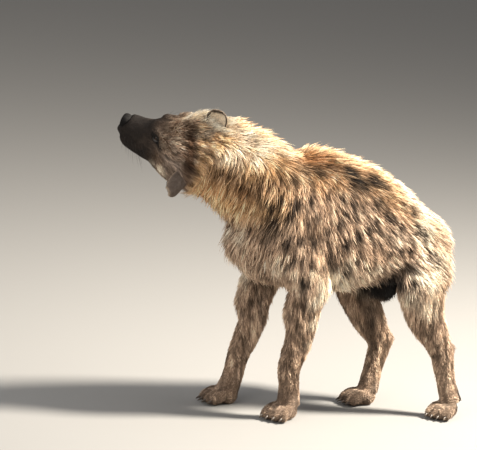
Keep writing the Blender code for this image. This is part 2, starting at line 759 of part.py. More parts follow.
def coat_depth(points):
    """How far the coat's tips stand over the core: none on the head and under the elbows and knees."""
    toward_head = (points - np.array(HEAD_CUT["point"])) @ unit(np.array(HEAD_CUT["normal"]))
    share = 1 - ease(toward_head, -0.045, -0.005)
    leg_top = 0.400 - 0.070 * ease(points[:, 0], 0.14, 0.18) * (1 - ease(points[:, 0], 0.27, 0.31))
    share *= ease(points[:, 2], leg_top, leg_top + 0.090)
    return share * (FLANK_DEPTH + (CREST_DEPTH - FLANK_DEPTH) * crest_share(points))


def hair_lie(point, normal):
    """The way the hair lies: back along the spine, turning down over the flanks, chest and thighs."""
    neck_share = float(1 - ease(np.array(point.x), -0.24, -0.06))
    back = Vector((1, 0, -0.22)) * (1 - neck_share) + Vector((0.80, -0.36, -0.46)) * neck_share
    sideways = 1 - abs(normal.z)
    low = float(1 - ease(np.array(point.z), 0.50, 0.66))
    down = Vector((0, 0, -1)) * (0.25 + 0.45 * sideways + 0.55 * low)
    way = back + down
    way -= normal * way.dot(normal)
    return way.normalized()


def core_of(body):
    """The body drawn in by half the coat, which the locks then cover."""
    count = len(body.data.vertices)
    points, normals = np.empty(count * 3), np.empty(count * 3)
    body.data.vertices.foreach_get("co", points)
    body.data.vertices.foreach_get("normal", normals)
    points, normals = points.reshape(-1, 3), normals.reshape(-1, 3)
    points -= normals * coat_depth(points)[:, None]
    body.data.vertices.foreach_set("co", points.reshape(-1))
    body.data.update()
    return body


def lock(name, surface, root, way, length, width, thickness, lift, hangs=False):
    """A flat tapered lock of triangular section. It starts sunk in the surface, follows it and rises
    to lift over it at its tip, or runs straight on from its root where it hangs."""
    place, normal = root, None
    shares = (0.0, 0.28, 0.66, 1.0)
    rings = []
    for share, last in zip(shares, (None, *shares)):
        if last is not None:
            place = place + way * length * (share - last)
        if last is None or not hangs:
            place, normal, _, _ = surface.find_nearest(place)
            way = (way - normal * way.dot(normal)).normalized()
        across = normal.cross(way)
        height = 0.0015 + (lift - 0.0015) * share if last is not None else -ROOT_SINK
        wide = width / 2 * (0.62 + 1.45 * share - 1.80 * share * share)
        middle = place + normal * height
        if share == 1.0:
            rings.append([middle])
        else:
            thick = thickness * (1.15 - 0.85 * share)
            rings.append([middle - across * wide, middle + normal * thick, middle + across * wide])
    points = [p for ring in rings for p in ring]
    faces = [(2, 1, 0)]
    for ring in range(len(rings) - 2):
        a = ring * 3
        for j in range(3):
            k = (j + 1) % 3
            faces += [(a + j, a + k, a + 3 + k), (a + j, a + 3 + k, a + 3 + j)]
    a = (len(rings) - 2) * 3
    faces += [(a + j, a + (j + 1) % 3, a + 3) for j in range(3)]
    return from_lists(name, points, faces)


def lock_roots(body, chance):
    """Places for the locks on the core, spread evenly at random: closer together along the crest."""
    body.data.calc_loop_triangles()
    corners = np.array([v.co for v in body.data.vertices])
    triangles = np.array([t.vertices for t in body.data.loop_triangles])
    a, b, c = (corners[triangles[:, i]] for i in range(3))
    areas = np.linalg.norm(np.cross(b - a, c - a), axis=1)
    picked = chance.choice(len(triangles), size=9000, p=areas / areas.sum())
    u, v = np.sqrt(chance.random(len(picked))), chance.random(len(picked))
    spots = a[picked] * (1 - u)[:, None] + b[picked] * (u * (1 - v))[:, None] + c[picked] * (u * v)[:, None]
    spots = spots[coat_depth(spots) > FLANK_DEPTH * 0.45]
    crest = crest_share(spots)
    apart = FLANK_LOCK["spacing"] + (CREST_LOCK["spacing"] - FLANK_LOCK["spacing"]) * crest
    order = np.argsort(-crest, kind="stable")
    roots = []
    for i in order:
        if all(np.linalg.norm(spots[i] - spots[j]) > min(apart[i], apart[j]) for j in roots):
            roots.append(i)
    return spots[roots], crest[roots]


def coat_locks(body):
    """The locks of the neck, crest, trunk and thighs, in a collection of their own."""
    chance = np.random.default_rng(SEED)
    work = bmesh.new()
    work.from_mesh(body.data)
    surface = BVHTree.FromBMesh(work)
    work.free()
    made = bpy.data.collections.new("locks")
    spots, crests = lock_roots(body, chance)
    depths = coat_depth(spots)
    for i, (spot, crest, depth) in enumerate(zip(spots, crests, depths)):
        hit, normal, _, _ = surface.find_nearest(Vector(spot))
        swing = Matrix.Rotation(chance.uniform(-LOCK_SWING, LOCK_SWING), 3, normal)
        size = chance.uniform(0.88, 1.12)
        sizes = {
            key: (FLANK_LOCK[key] + (CREST_LOCK[key] - FLANK_LOCK[key]) * crest) * size
            for key in ("length", "width", "thickness")
        }
        lift = depth * (1.0 + 0.25 * crest)
        obj = lock(f"lock{i}", surface, hit, swing @ hair_lie(hit, normal), lift=lift, **sizes)
        bpy.context.scene.collection.objects.unlink(obj)
        made.objects.link(obj)
    return made


def join_locks(obj, locks):
    """The locks fused to the object by one union. The locks are removed."""
    step = obj.modifiers.new("locks", "BOOLEAN")
    step.operation = "UNION"
    step.operand_type = "COLLECTION"
    step.collection = locks
    step.solver = "MANIFOLD"
    apply_modifiers(obj)
    discard(*locks.objects)
    bpy.data.collections.remove(locks)
    return largest_body(obj)


def tail_locks(core):
    """Tiers of locks round the lower tail, all hanging down."""
    chance = np.random.default_rng(SEED + 1)
    work = bmesh.new()
    work.from_mesh(core.data)
    surface = BVHTree.FromBMesh(work)
    work.free()
    made = bpy.data.collections.new("tail_locks")
    tiers, around = TAIL_LOCK["tiers"], TAIL_LOCK["around"]
    for tier in range(tiers):
        for turn in range(around):
            height = 0.465 - 0.052 * tier + chance.uniform(-0.009, 0.009)
            angle = 2 * math.pi * (turn + 0.5 * (tier % 2)) / around + chance.uniform(0.1, 0.6)
            outside = Vector((TRUNK_REAR + 0.016 + 0.1 * math.cos(angle), 0.1 * math.sin(angle), height))
            hit, normal, _, _ = surface.find_nearest(outside)
            size = chance.uniform(0.9, 1.1)
            way = Vector((chance.uniform(-0.1, 0.1), chance.uniform(-0.1, 0.1), -1))
            length, width = TAIL_LOCK["length"] * size, TAIL_LOCK["width"] * size
            name = f"tail_lock{tier}_{turn}"
            obj = lock(name, surface, hit, way, length, width, TAIL_LOCK["thickness"], TAIL_LIFT, hangs=True)
            bpy.context.scene.collection.objects.unlink(obj)
            made.objects.link(obj)
    return made


NECK_CUT = dict(point=(-0.140, 0.005, 0.735), normal=(-0.80, 0.12, 0.58))
HEAD_CUT = dict(point=(-0.242, 0.062, 0.815), normal=(-0.76, 0.47, 0.45))


def split(whole, name_beyond, name_before, point, normal, whole_pieces=False):
    """The mesh in two, either side of a plane, with the gap between them. Each side keeps only its
    largest body, unless whole_pieces is set."""
    normal = Vector(normal).normalized()
    result = []
    for name, way in ((name_beyond, normal), (name_before, -normal)):
        box = beyond("box", Vector(point) + way * GAP / 2, way)
        half = combine_locked(copied(whole, name), box, "INTERSECT")
        result.append(half if whole_pieces else largest_body(half))
        discard(box)
    discard(whole)
    return result


def leg_room(name, side, grow):
    """The room that the top of a leg is cut out with, its faces moved out by grow."""
    cut = LEG_CUTS[name]
    (inner_y, inner_z), (top_y, top_z) = cut["inner"], cut["top"]
    outline = [(inner_y, -0.2), (inner_y, inner_z), (top_y, top_z), (0.4, top_z), (0.4, -0.2)]
    room = prism("room", [(side * y, z) for y, z in outline], LEG_REACH, grow)
    facing = Vector((cut["facing"][0], 0, cut["facing"][1])).normalized()
    wall = beyond("wall", Vector((cut["wall"][0], 0, cut["wall"][1])) - facing * grow, facing)
    combine(room, wall, "INTERSECT")
    discard(wall)
    return room


def part_lower_legs(body):
    """Everything under the knees, as one lower leg and one paw for each quarter. Gives back the rest."""
    rest, below = split(body, "rest", "below", (0, 0, KNEES), (0, 0, 1), whole_pieces=True)
    pieces = {}
    for name, leg in LEGS.items():
        side = leg["side"]
        section = [(0, -0.2), (0, 0.5), (side * 0.5, 0.5), (side * 0.5, -0.2)]
        quarter = prism("quarter", section, QUADRANTS[name], 0)
        limb_below = combine(copied(below, name + "_below"), quarter, "INTERSECT")
        discard(quarter)
        lower, foot = split(limb_below, name + "_lower", name + "_paw", (0, 0, ANKLES), (0, 0, 1))
        for obj in (lower, foot):
            pieces[obj.name] = obj
            finish(obj, "leg_coat")
    discard(below)
    return rest, pieces


def part_upper_legs(body):
    """The tops of the legs, cut off the trunk along the shoulder and the haunch."""
    pieces = {}
    for name, leg in LEGS.items():
        inside, outside = leg_room(name, leg["side"], -GAP / 2), leg_room(name, leg["side"], GAP / 2)
        upper = largest_body(combine_locked(copied(body, name + "_upper"), inside, "INTERSECT"))
        combine_locked(body, outside, "DIFFERENCE")
        discard(inside, outside)
        pieces[upper.name] = upper
        finish(upper, "coat")
    largest_body(body)
    return pieces


def set_claws(pieces):
    for name, leg in LEGS.items():
        front = name.startswith("front")
        width = PAW_WIDTH * (1.0 if front else 0.90)
        length = PAW_LENGTH * (1.0 if front else 0.96)
        place, turn = foot_frame(leg["foot"], leg["splay"])
        forward = turn @ Vector((-1, 0, 0))
        foot = pieces[name + "_paw"]
        for toe in range(4):
            end = Vector(toe_path(place, toe, width, length)[-1][:3]) + Vector((0, 0, 0.002))
            made = claw(f"claw_{name}_{toe + 1}", end, forward)
            socket = claw("socket", end, forward, grow=GAP * 1.3)
            combine(foot, socket, "DIFFERENCE")
            discard(socket)
            finish(made, "claw")
        largest_body(foot)


def groin():
    """The bulge between the thighs, under the fold of the flank, narrower than the room there."""
    return ellipsoid("groin", (0.386, 0.0, 0.408), (0.054, 0.0185, 0.046))


def build_body():
    """Trunk, neck and legs in one skin, then parted."""
    pieces = [trunk(), neck_and_chest(), *head_forms()]
    for leg in FRONT_LEGS.values():
        pieces += front_leg(**leg)
    for leg in HIND_LEGS.values():
        pieces += hind_leg(**leg)
    body = thinned(core_of(fused("body", pieces, BODY_VOXEL, BODY_SMOOTHING)), BODY_TRIANGLES)
    join_locks(body, coat_locks(body))
    ground = beyond("ground", (0, 0, 0), (0, 0, -1))
    combine_locked(body, ground, "DIFFERENCE")
    discard(ground)
    upper_body, legs = part_lower_legs(body)
    front, torso = split(upper_body, "front", "torso", **NECK_CUT)
    scrap, neck = split(front, "scrap", "neck", **HEAD_CUT)
    discard(scrap)
    legs.update(part_upper_legs(torso))
    set_claws(legs)
    made = tail("tail")
    join_locks(made, tail_locks(made))
    room = tail("room", grow=GAP * 1.3)
    largest_body(combine_locked(torso, room, "DIFFERENCE"))
    for name in ("hind_left_upper", "hind_right_upper"):
        largest_body(combine_locked(legs[name], room, "DIFFERENCE"))
    discard(room)
    bulge = groin()
    combine_locked(torso, bulge, "UNION")
    discard(bulge)
    finish(torso, "coat")
    finish(neck, "coat")
    finish(made, "tail_hair")


def build_head():
    """The head, finer than the body, with its eyes, lids, mouth, nose and ears."""
    skin = fused("head_skin", [neck_and_chest(), *head_forms()], HEAD_VOXEL, HEAD_SMOOTHING)
    head = thinned(skin, HEAD_TRIANGLES)
    head, rest = split(head, "head", "rest", **HEAD_CUT)
    discard(rest)
    slot = mouth_slot()
    combine(head, slot, "DIFFERENCE")
    discard(slot)
    for name, side in (("eye_left", 1), ("eye_right", -1)):
        for upper in (True, False):
            lid = eyelid(side, upper)
            combine(head, lid, "UNION")
            discard(lid)
        finish(eye_ball(name, side), "eye")
        socket = eye_ball("socket", side, GAP * 1.3)
        combine(head, socket, "DIFFERENCE")
        discard(socket)
    nose = nose_form("nose")
    for side in (-1, 1):
        hollow = nostril(side)
        combine(nose, hollow, "DIFFERENCE")
        discard(hollow)
    room = nose_form("room", grow=GAP * 1.3)
    combine(head, room, "DIFFERENCE")
    discard(room)
    largest_body(head)
    largest_body(nose)
    finish(nose, "nose_skin")
    surface = grown(head, "surface", GAP * 1.2)
    away = Vector(HEAD_CUT["normal"]).normalized()
    rear = beyond("rear", Vector(HEAD_CUT["point"]) + away * GAP, -away)
    for name, side in (("ear_left", 1), ("ear_right", -1)):
        made = ear(name, side)
        combine(made, rear, "DIFFERENCE")
        largest_body(combine(made, surface, "DIFFERENCE"))
        finish(made, "ear_skin")
    discard(surface, rear)
    finish(head, "face")


def centre_on_floor():
    """Moves everything so that the origin lies on the floor under the middle of the model's box."""
    points = np.vstack([np.array([v.co for v in obj.data.vertices]) for obj in bpy.data.objects])
    low, high = points.min(0), points.max(0)
    shift = Matrix.Translation((-(low[0] + high[0]) / 2, -(low[1] + high[1]) / 2, -low[2]))
    for obj in bpy.data.objects:
        obj.data.transform(shift)


clear_scene()
build_body()
build_head()
centre_on_floor()
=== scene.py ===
"""The looks of a life-size spotted hyena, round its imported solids.

Metres, +Z up. X runs from the head towards the tail, Y towards the animal's right. Shapes are worked
out with the left forefoot at X 0 and are moved onto the solids as they are put into a mesh. One skin
is fused from lofts, drawn in by the coat's depth, and covered with tapered tufts that follow its lie.
"""

import math

import bpy
import numpy as np
from mathutils import Matrix, Vector
from mathutils.bvhtree import BVHTree


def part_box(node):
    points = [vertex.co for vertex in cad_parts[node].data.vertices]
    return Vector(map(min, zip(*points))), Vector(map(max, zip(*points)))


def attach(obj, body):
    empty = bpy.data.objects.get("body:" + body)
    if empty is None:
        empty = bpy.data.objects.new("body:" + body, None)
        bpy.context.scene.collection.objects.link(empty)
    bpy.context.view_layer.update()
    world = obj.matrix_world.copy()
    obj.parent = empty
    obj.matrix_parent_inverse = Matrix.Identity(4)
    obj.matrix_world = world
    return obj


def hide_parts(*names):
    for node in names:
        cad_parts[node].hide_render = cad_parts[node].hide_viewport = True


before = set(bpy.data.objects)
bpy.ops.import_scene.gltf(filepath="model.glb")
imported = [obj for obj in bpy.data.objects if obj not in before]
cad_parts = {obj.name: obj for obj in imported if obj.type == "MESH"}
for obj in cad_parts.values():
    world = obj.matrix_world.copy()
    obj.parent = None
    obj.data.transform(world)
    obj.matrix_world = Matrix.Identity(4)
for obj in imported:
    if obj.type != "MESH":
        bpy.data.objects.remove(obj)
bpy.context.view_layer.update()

# Driving dimensions of the animal, over its coat
WITHERS = 0.835
BELLY = 0.392
TRUNK_FRONT = -0.165
TRUNK_REAR = 0.582
TRUNK_HALF_WIDTH = 0.150
HEAD_SIZE = 1.11
EAR_LENGTH = 0.100
EAR_WIDTH = 0.076
EAR_THICKNESS = 0.0045
EYE_RADIUS = 0.0135
PAW_LENGTH = 0.105
PAW_WIDTH = 0.088
CLAW_LENGTH = 0.023
CLAW_RADIUS = 0.0042
HIND_PAW_WIDTH = PAW_WIDTH * 0.90
HIND_PAW_LENGTH = PAW_LENGTH * 0.96
LEFT_EAR_SCALE = 0.90

# The head's pose: turned to the animal's right, nose raised, left ear lowered
HEAD_TURN = math.radians(43)
HEAD_RAISE = math.radians(20.8)
HEAD_TILT = math.radians(35.5)
NOSE_TIP = np.array((-0.457, 0.252, 0.889))

# The coat's depth over the skin
CREST_DEPTH = 0.022
FLANK_DEPTH = 0.013
LEG_DEPTH = 0.0055
PAW_DEPTH = 0.0035
FACE_DEPTH = 0.0020
CHEEK_DEPTH = 0.0050

# Making
BODY_VOXEL = 0.0070
HEAD_VOXEL = 0.0029
PAW_VOXEL = 0.0034
BODY_SMOOTHING = 7
HEAD_SMOOTHING = 26
PAW_SMOOTHING = 11
HEAD_OVERLAP = 0.012
BODY_LOWEST = 0.098
PAW_HIGHEST = 0.108
SKIN_LOWEST = 0.0015
TUFTS = 132000
TUFTS_IN_A_PIECE = 19500
TUFT_TRIANGLES = 10
TAIL_TUFT_TRIANGLES = 16
EAR_TUFTS = (5200, 3000)
SURFACE_SHARE = 0.8
SKIN_SHADE = 0.62
PATCH = 0.003
LOWEST = 0.0006
SEED = 5

# The camera, from the photograph
PHOTO_WIDTH = 477
PHOTO_HEIGHT = 450
CAMERA_AZIMUTH = math.radians(-30)
CAMERA_ELEVATION = math.radians(10)
CAMERA_ROLL = math.radians(5)
CAMERA_DISTANCE = 12.0
FOCAL_PIXELS = 3840.0
AIM = np.array((0.1, 0.0, 0.45))
AIM_PIXEL = (306.8, 270.5)

# Tones of the coat and skin, linear
CREAM = np.array((0.90, 0.755, 0.575))
PALE = np.array((0.70, 0.555, 0.420))
BUFF = np.array((0.48, 0.340, 0.240))
GOLD = np.array((0.58, 0.350, 0.160))
TAN = np.array((0.30, 0.190, 0.115))
RUST = np.array((0.46, 0.205, 0.070))
GREY = np.array((0.220, 0.175, 0.145))
GREY_BROWN = np.array((0.185, 0.132, 0.098))
BROWN = np.array((0.125, 0.066, 0.036))
DARK = np.array((0.030, 0.019, 0.013))
MUZZLE = np.array((0.025, 0.0185, 0.015))
BLACK = np.array((0.009, 0.007, 0.006))


def unit(v):
    return v / np.maximum(np.linalg.norm(v, axis=-1, keepdims=True), 1e-12)


def rotation(angle, axis):
    """The matrix that turns by that angle about an axis: I + sin K + (1 - cos) K squared."""
    x, y, z = unit(np.array(axis, float))
    cross = np.array(((0, -z, y), (z, 0, -x), (-y, x, 0)))
    return np.eye(3) + math.sin(angle) * cross + (1 - math.cos(angle)) * cross @ cross


def head_axes():
    """The head's forward, left and up directions."""
    turn = rotation(-HEAD_TURN, (0, 0, 1))
    forward = turn @ np.array((-math.cos(HEAD_RAISE), 0, math.sin(HEAD_RAISE)))
    up = turn @ np.array((math.sin(HEAD_RAISE), 0, math.cos(HEAD_RAISE)))
    roll = rotation(-HEAD_TILT, forward)
    return forward, roll @ np.cross(up, forward), roll @ up


FORWARD, LEFT, UP = head_axes()


def on_head(places):
    """Places from how far they lie behind the nose tip, to the left and up."""
    places = np.asarray(places, float)
    back, left, up = places[..., 0:1], places[..., 1:2], places[..., 2:3]
    return NOSE_TIP + (LEFT * left + UP * up - FORWARD * back) * HEAD_SIZE


def head_places(points):
    """Back, left and up on the head, the inverse of on_head."""
    away = (points - NOSE_TIP) / HEAD_SIZE
    return np.stack([-(away @ FORWARD), away @ LEFT, away @ UP], -1)


def eye_centre(side):
    return on_head((0.122, side * 0.0375, 0.0360))


def solids_shift():
    """How far the solids were moved, from where their eyes are."""
    moved = []
    for name, side in (("eye_left", 1), ("eye_right", -1)):
        low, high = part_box(name)
        moved.append(eye_centre(side) - (np.array(low) + np.array(high)) / 2)
    return np.mean(moved, 0)


SHIFT = solids_shift()


def ease(value, low, high):
    """0 below low, 1 above high and a smooth step between."""
    t = np.clip((value - low) / (high - low), 0, 1)
    return t * t * (3 - 2 * t)


def mix(a, b, share):
    """From a to b by a share for each row."""
    if np.ndim(share) == 1 and max(np.ndim(a), np.ndim(b)) == 2:
        share = share[:, None]
    return a + (b - a) * share


def bell(away, width):
    """A smooth bump: e to the power of minus the square of away over width."""
    return np.exp(-((away / width) ** 2))


def laid_on(ways, normals):
    """Directions turned into the surface by taking off their part along its normals."""
    return unit(ways - normals * (ways * normals).sum(1)[:, None])


def halfway(a, b):
    return [(p + q) / 2 for p, q in zip(a, b)]


def lattice(cells, seed):
    """A fixed random number from 0 to 1 for each whole-numbered cell."""
    x, y, z = cells.astype(np.int64).T
    h = (x * 73856093) ^ (y * 19349663) ^ (z * 83492791) ^ (seed * 26544357)
    h = ((h & 0x7FFFFFFF) ^ ((h & 0x7FFFFFFF) >> 13)) * 1274126177
    h = ((h & 0x7FFFFFFF) ^ ((h & 0x7FFFFFFF) >> 16)) * 668265263
    return (h & 0xFFFFFF) / 0xFFFFFF


def mottle(points, size, seed):
    """Smooth noise from 0 to 1: random numbers on a lattice of that size, blended by smooth steps."""
    q = np.asarray(points) / size
    cell = np.floor(q)
    f = q - cell
    f = f * f * (3 - 2 * f)
    total = 0
    for dx in (0, 1):
        for dy in (0, 1):
            for dz in (0, 1):
                weight = (f[:, 0] if dx else 1 - f[:, 0]) * (f[:, 1] if dy else 1 - f[:, 1])
                weight = weight * (f[:, 2] if dz else 1 - f[:, 2])
                total = total + weight * lattice(cell + (dx, dy, dz), seed)
    return total


def swirl(points, size, seed):
    """Smooth noise with three values from -1 to 1."""
    return np.stack([mottle(points, size, seed + k) for k in range(3)], -1) * 2 - 1


# Forms


def smooth_rows(rows, steps):
    """Rows of numbers joined by a Catmull-Rom curve with that many points to each span."""
    rows = np.array(rows, float)
    ends = np.vstack([2 * rows[0] - rows[1], rows, 2 * rows[-1] - rows[-2]])
    t = np.linspace(0, 1, steps, endpoint=False)[:, None]
    spans = []
    for a, b, c, d in zip(ends, ends[1:], ends[2:], ends[3:]):
        cubic = (3 * b - a - 3 * c + d) * t**3
        spans.append(0.5 * (2 * b + (c - a) * t + (2 * a - 5 * b + 4 * c - d) * t**2 + cubic))
    return np.vstack([*spans, rows[-1:]])


def loft(stations, up=(0, 0, 1), steps=6, squareness=1.0, around=28):
    """Rings along a bent path. Each station is x, y, z, half-width, height above and below. A ring is
    centre + side * half * cos^s + up * height * sin^s, the powers keeping their signs."""
    rows = smooth_rows(stations, steps)
    centres = rows[:, :3]
    along = unit(np.gradient(centres, axis=0))
    upward = np.array(up, float)
    ups = unit(upward - along * (along @ upward)[:, None])
    sides = np.cross(along, ups)
    half, top, low = np.maximum(rows[:, 3:], 0.0010).T
    angle = np.linspace(0, 2 * math.pi, around, endpoint=False)
    across = np.sign(np.cos(angle)) * np.abs(np.cos(angle)) ** squareness
    height = np.sign(np.sin(angle)) * np.abs(np.sin(angle)) ** squareness
    height = np.where(height > 0, top[:, None], low[:, None]) * height
    outward = sides[:, None] * (half[:, None] * across)[:, :, None]
    return centres[:, None] + outward + ups[:, None] * height[:, :, None]


def grid_faces(rows, columns, wrapped=True):
    """The quads of a grid of points, joined round if it is wrapped."""
    i = np.arange(rows - 1)[:, None]
    j = np.arange(columns if wrapped else columns - 1)[None]
    k = (j + 1) % columns
    quads = np.stack([i * columns + j, i * columns + k, (i + 1) * columns + k, (i + 1) * columns + j], -1)
    return quads.reshape(-1, 4)


def tube(rings):
    """A closed form from rings: the grid between them and a fan to the middle of each end."""
    rows, columns = rings.shape[:2]
    points = np.vstack([rings.reshape(-1, 3), rings[0].mean(0), rings[-1].mean(0)])
    j = np.arange(columns)
    k = (j + 1) % columns
    first, last = rows * columns, (rows - 1) * columns
    start = np.stack([np.full(columns, first), k, j], -1)
    end = np.stack([np.full(columns, first + 1), last + j, last + k], -1)
    return points, [grid_faces(rows, columns), start, end]


def ball(centre, radii, axes=np.eye(3), rows=14, columns=24):
    """A ball of three radii along its axes: latitude and longitude."""
    latitude = np.linspace(-math.pi / 2, math.pi / 2, rows + 2)[1:-1, None]
    longitude = np.linspace(0, 2 * math.pi, columns, endpoint=False)[None]
    level = np.cos(latitude)
    local = [level * np.cos(longitude), level * np.sin(longitude), np.sin(latitude) + 0 * longitude]
    return tube(centre + (np.stack(local, -1) * np.array(radii)) @ np.array(axes))


def gathered(forms):
    """Several forms as one list of points and one list of face arrays."""
    points, faces, start = [], [], 0
    for shape, its_faces in forms:
        points.append(shape)
        faces += [f + start for f in its_faces]
        start += len(shape)
    return np.vstack(points), faces


def filled_mesh(name, points, faces):
    """A mesh from points and arrays of triangles and quads, put in as whole arrays."""
    mesh = bpy.data.meshes.new(name)
    corners = np.concatenate([f.reshape(-1) for f in faces]).astype(np.int32)
    sizes = np.concatenate([np.full(len(f), f.shape[1]) for f in faces])
    starts = np.concatenate([[0], np.cumsum(sizes)[:-1]]).astype(np.int32)
    mesh.vertices.add(len(points))
    mesh.vertices.foreach_set("co", np.ascontiguousarray(points, np.float32).reshape(-1))
    mesh.loops.add(len(corners))
    mesh.loops.foreach_set("vertex_index", corners)
    mesh.polygons.add(len(sizes))
    mesh.polygons.foreach_set("loop_start", starts)
    mesh.update(calc_edges=True)
    return mesh


def piece(name, points, faces, materials, replaced=(), smooth=True):
    """A shown piece that rides on the body, moved onto the solids."""
    mesh = filled_mesh(name, np.asarray(points) - SHIFT, faces)
    mesh.polygons.foreach_set("use_smooth", np.full(len(mesh.polygons), smooth))
    obj = bpy.data.objects.new(name, mesh)
    bpy.context.scene.collection.objects.link(obj)
    obj.data.materials.append(materials)
    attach(obj, "root")
    if replaced:
        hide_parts(*replaced)
    return obj


def fused(forms, voxel, smoothing):
    """The forms as one skin: a voxel remesh of them all, with its creases smoothed."""
    obj = bpy.data.objects.new("fusing", filled_mesh("fusing", *gathered(forms)))
    bpy.context.scene.collection.objects.link(obj)
    remesh = obj.modifiers.new("fuse", "REMESH")
    remesh.mode = "VOXEL"
    remesh.voxel_size = voxel
    soften = obj.modifiers.new("soften", "SMOOTH")
    soften.factor = 0.5
    soften.iterations = smoothing
    bpy.context.view_layer.update()
    made = bpy.data.meshes.new_from_object(obj.evaluated_get(bpy.context.evaluated_depsgraph_get()))
    bpy.data.objects.remove(obj, do_unlink=True)
    points = np.empty(len(made.vertices) * 3, np.float32)
    made.vertices.foreach_get("co", points)
    corners = np.empty(len(made.loops), np.int32)
    made.loops.foreach_get("vertex_index", corners)
    bpy.data.meshes.remove(made)
    return points.reshape(-1, 3).astype(float), corners.reshape(-1, 4)


def quad_normals(points, quads):
    """Each point's normal: the sum of the crosses of its quads' diagonals, made one long."""
    p = points[quads]
    crosses = np.cross(p[:, 2] - p[:, 0], p[:, 3] - p[:, 1])
    normals = np.zeros_like(points)
    for k in range(4):
        for axis in range(3):
            normals[:, axis] += np.bincount(quads[:, k], crosses[:, axis], len(points))
    return unit(normals)


def kept(points, quads, wanted):
    """Only the quads that have a wanted point, and their points."""
    quads = quads[wanted[quads].any(1)]
    used = np.unique(quads)
    place = np.zeros(len(points), np.int64)
    place[used] = np.arange(len(used))
    return points[used], place[quads]


def trunk():
    """The barrel of the body from chest to buttocks. Each row is a place along X, the height of the
    widest part, the half-width there, and the heights of the back and of the belly."""
    wide = TRUNK_HALF_WIDTH
    stations = [
        (TRUNK_FRONT, 0.610, wide * 0.33, 0.680, 0.545),
        (-0.130, 0.600, wide * 0.66, 0.740, 0.480),
        (-0.060, 0.590, wide * 0.88, 0.800, 0.432),
        (0.030, 0.585, wide * 0.95, WITHERS, BELLY + 0.016),
        (0.130, 0.580, wide, WITHERS, BELLY + 0.002),
        (0.230, 0.580, wide, 0.806, BELLY),
        (0.330, 0.572, wide * 0.93, 0.758, BELLY + 0.018),
        (0.420, 0.556, wide * 0.87, 0.698, 0.412),
        (0.495, 0.540, wide * 0.82, 0.642, 0.420),
        (0.550, 0.518, wide * 0.62, 0.590, 0.432),
        (TRUNK_REAR, 0.500, wide * 0.30, 0.540, 0.460),
    ]
    rows = [(x, 0.0, z, half, top - z, z - low) for x, z, half, top, low in stations]
    return tube(loft(rows, squareness=0.92))


def neck():
    stations = [
        (0.060, 0.000, 0.665, 0.105, 0.150, 0.150),
        (-0.050, 0.000, 0.700, 0.114, 0.142, 0.148),
        (-0.125, 0.004, 0.738, 0.112, 0.146, 0.138),
        (-0.190, 0.020, 0.774, 0.106, 0.142, 0.124),
        (-0.245, 0.052, 0.802, 0.097, 0.120, 0.108),
        (-0.285, 0.092, 0.822, 0.082, 0.086, 0.088),
    ]
    return tube(loft(stations))


def toe_path(place, toe, width, length):
    """The toe's five stations, fanned out from the palm and bent at the knuckle."""
    across = (toe - 1.5) / 1.5
    reach = length * (1.0 - 0.10 * across * across) / PAW_LENGTH
    y = across * width * 0.36
    return [
        (*place(0.010, y * 0.75, 0.040), 0.015, 0.014, 0.026),
        (*place(-0.020 * reach, y * 0.95, 0.038), 0.0155, 0.016, 0.028),
        (*place(-0.045 * reach, y * 1.08, 0.028), 0.0155, 0.015, 0.028),
        (*place(-0.062 * reach, y * 1.14, 0.018), 0.0130, 0.011, 0.020),
        (*place(-0.070 * reach, y * 1.15, 0.014), 0.0080, 0.006, 0.010),
    ]


def foot_frame(foot, splay):
    """A function from a place on the foot, forward being -X, to the world, and the foot's turn."""
    turn = rotation(math.radians(splay), (0, 0, 1))
    origin = np.array((foot[0], foot[1], 0.0))
    return (lambda x, y, z: origin + turn @ np.array((x, y, z))), turn


def paw(foot, splay, width, length):
    """A foot on four toes, its underside a little under the floor."""
    place, turn = foot_frame(foot, splay)
    forms = [ball(place(0.014, 0, 0.028), (length * 0.36, width * 0.43, 0.034), turn.T)]
    forms += [tube(loft(toe_path(place, toe, width, length), steps=5, around=20)) for toe in range(4)]
    return forms


def front_leg(side, elbow, wrist, foot, splay):
    """Shoulder, upper arm, forearm and pastern. side is -1 for the left leg and 1 for the right."""
    shoulder = [
        (0.055, side * 0.060, 0.760, 0.030, 0.050, 0.050),
        (0.010, side * 0.094, 0.690, 0.045, 0.082, 0.080),
        (-0.040, side * 0.108, 0.600, 0.050, 0.080, 0.086),
        (-0.015, side * 0.112, 0.520, 0.050, 0.080, 0.086),
        (elbow[0], elbow[1], elbow[2] + 0.02, 0.046, 0.072, 0.070),
    ]
    middle = halfway(elbow, wrist)
    pastern = ((wrist[0] + foot[0]) / 2 + 0.008, (wrist[1] + foot[1]) / 2, wrist[2] / 2 + 0.02)
    lower = [
        (elbow[0] - 0.010, elbow[1], elbow[2] + 0.07, 0.044, 0.068, 0.068),
        (*elbow, 0.045, 0.066, 0.068),
        (middle[0] + 0.004, middle[1], middle[2] + 0.045, 0.041, 0.054, 0.058),
        (middle[0] + 0.003, middle[1], middle[2] - 0.035, 0.035, 0.043, 0.046),
        (*wrist, 0.034, 0.039, 0.040),
        (*pastern, 0.033, 0.035, 0.038),
        (foot[0] + 0.014, foot[1], 0.045, 0.038, 0.036, 0.040),
    ]
    legs = [tube(loft(rows, up=(-1, 0, 0))) for rows in (shoulder, lower)]
    return legs, paw(foot, splay, PAW_WIDTH, PAW_LENGTH)


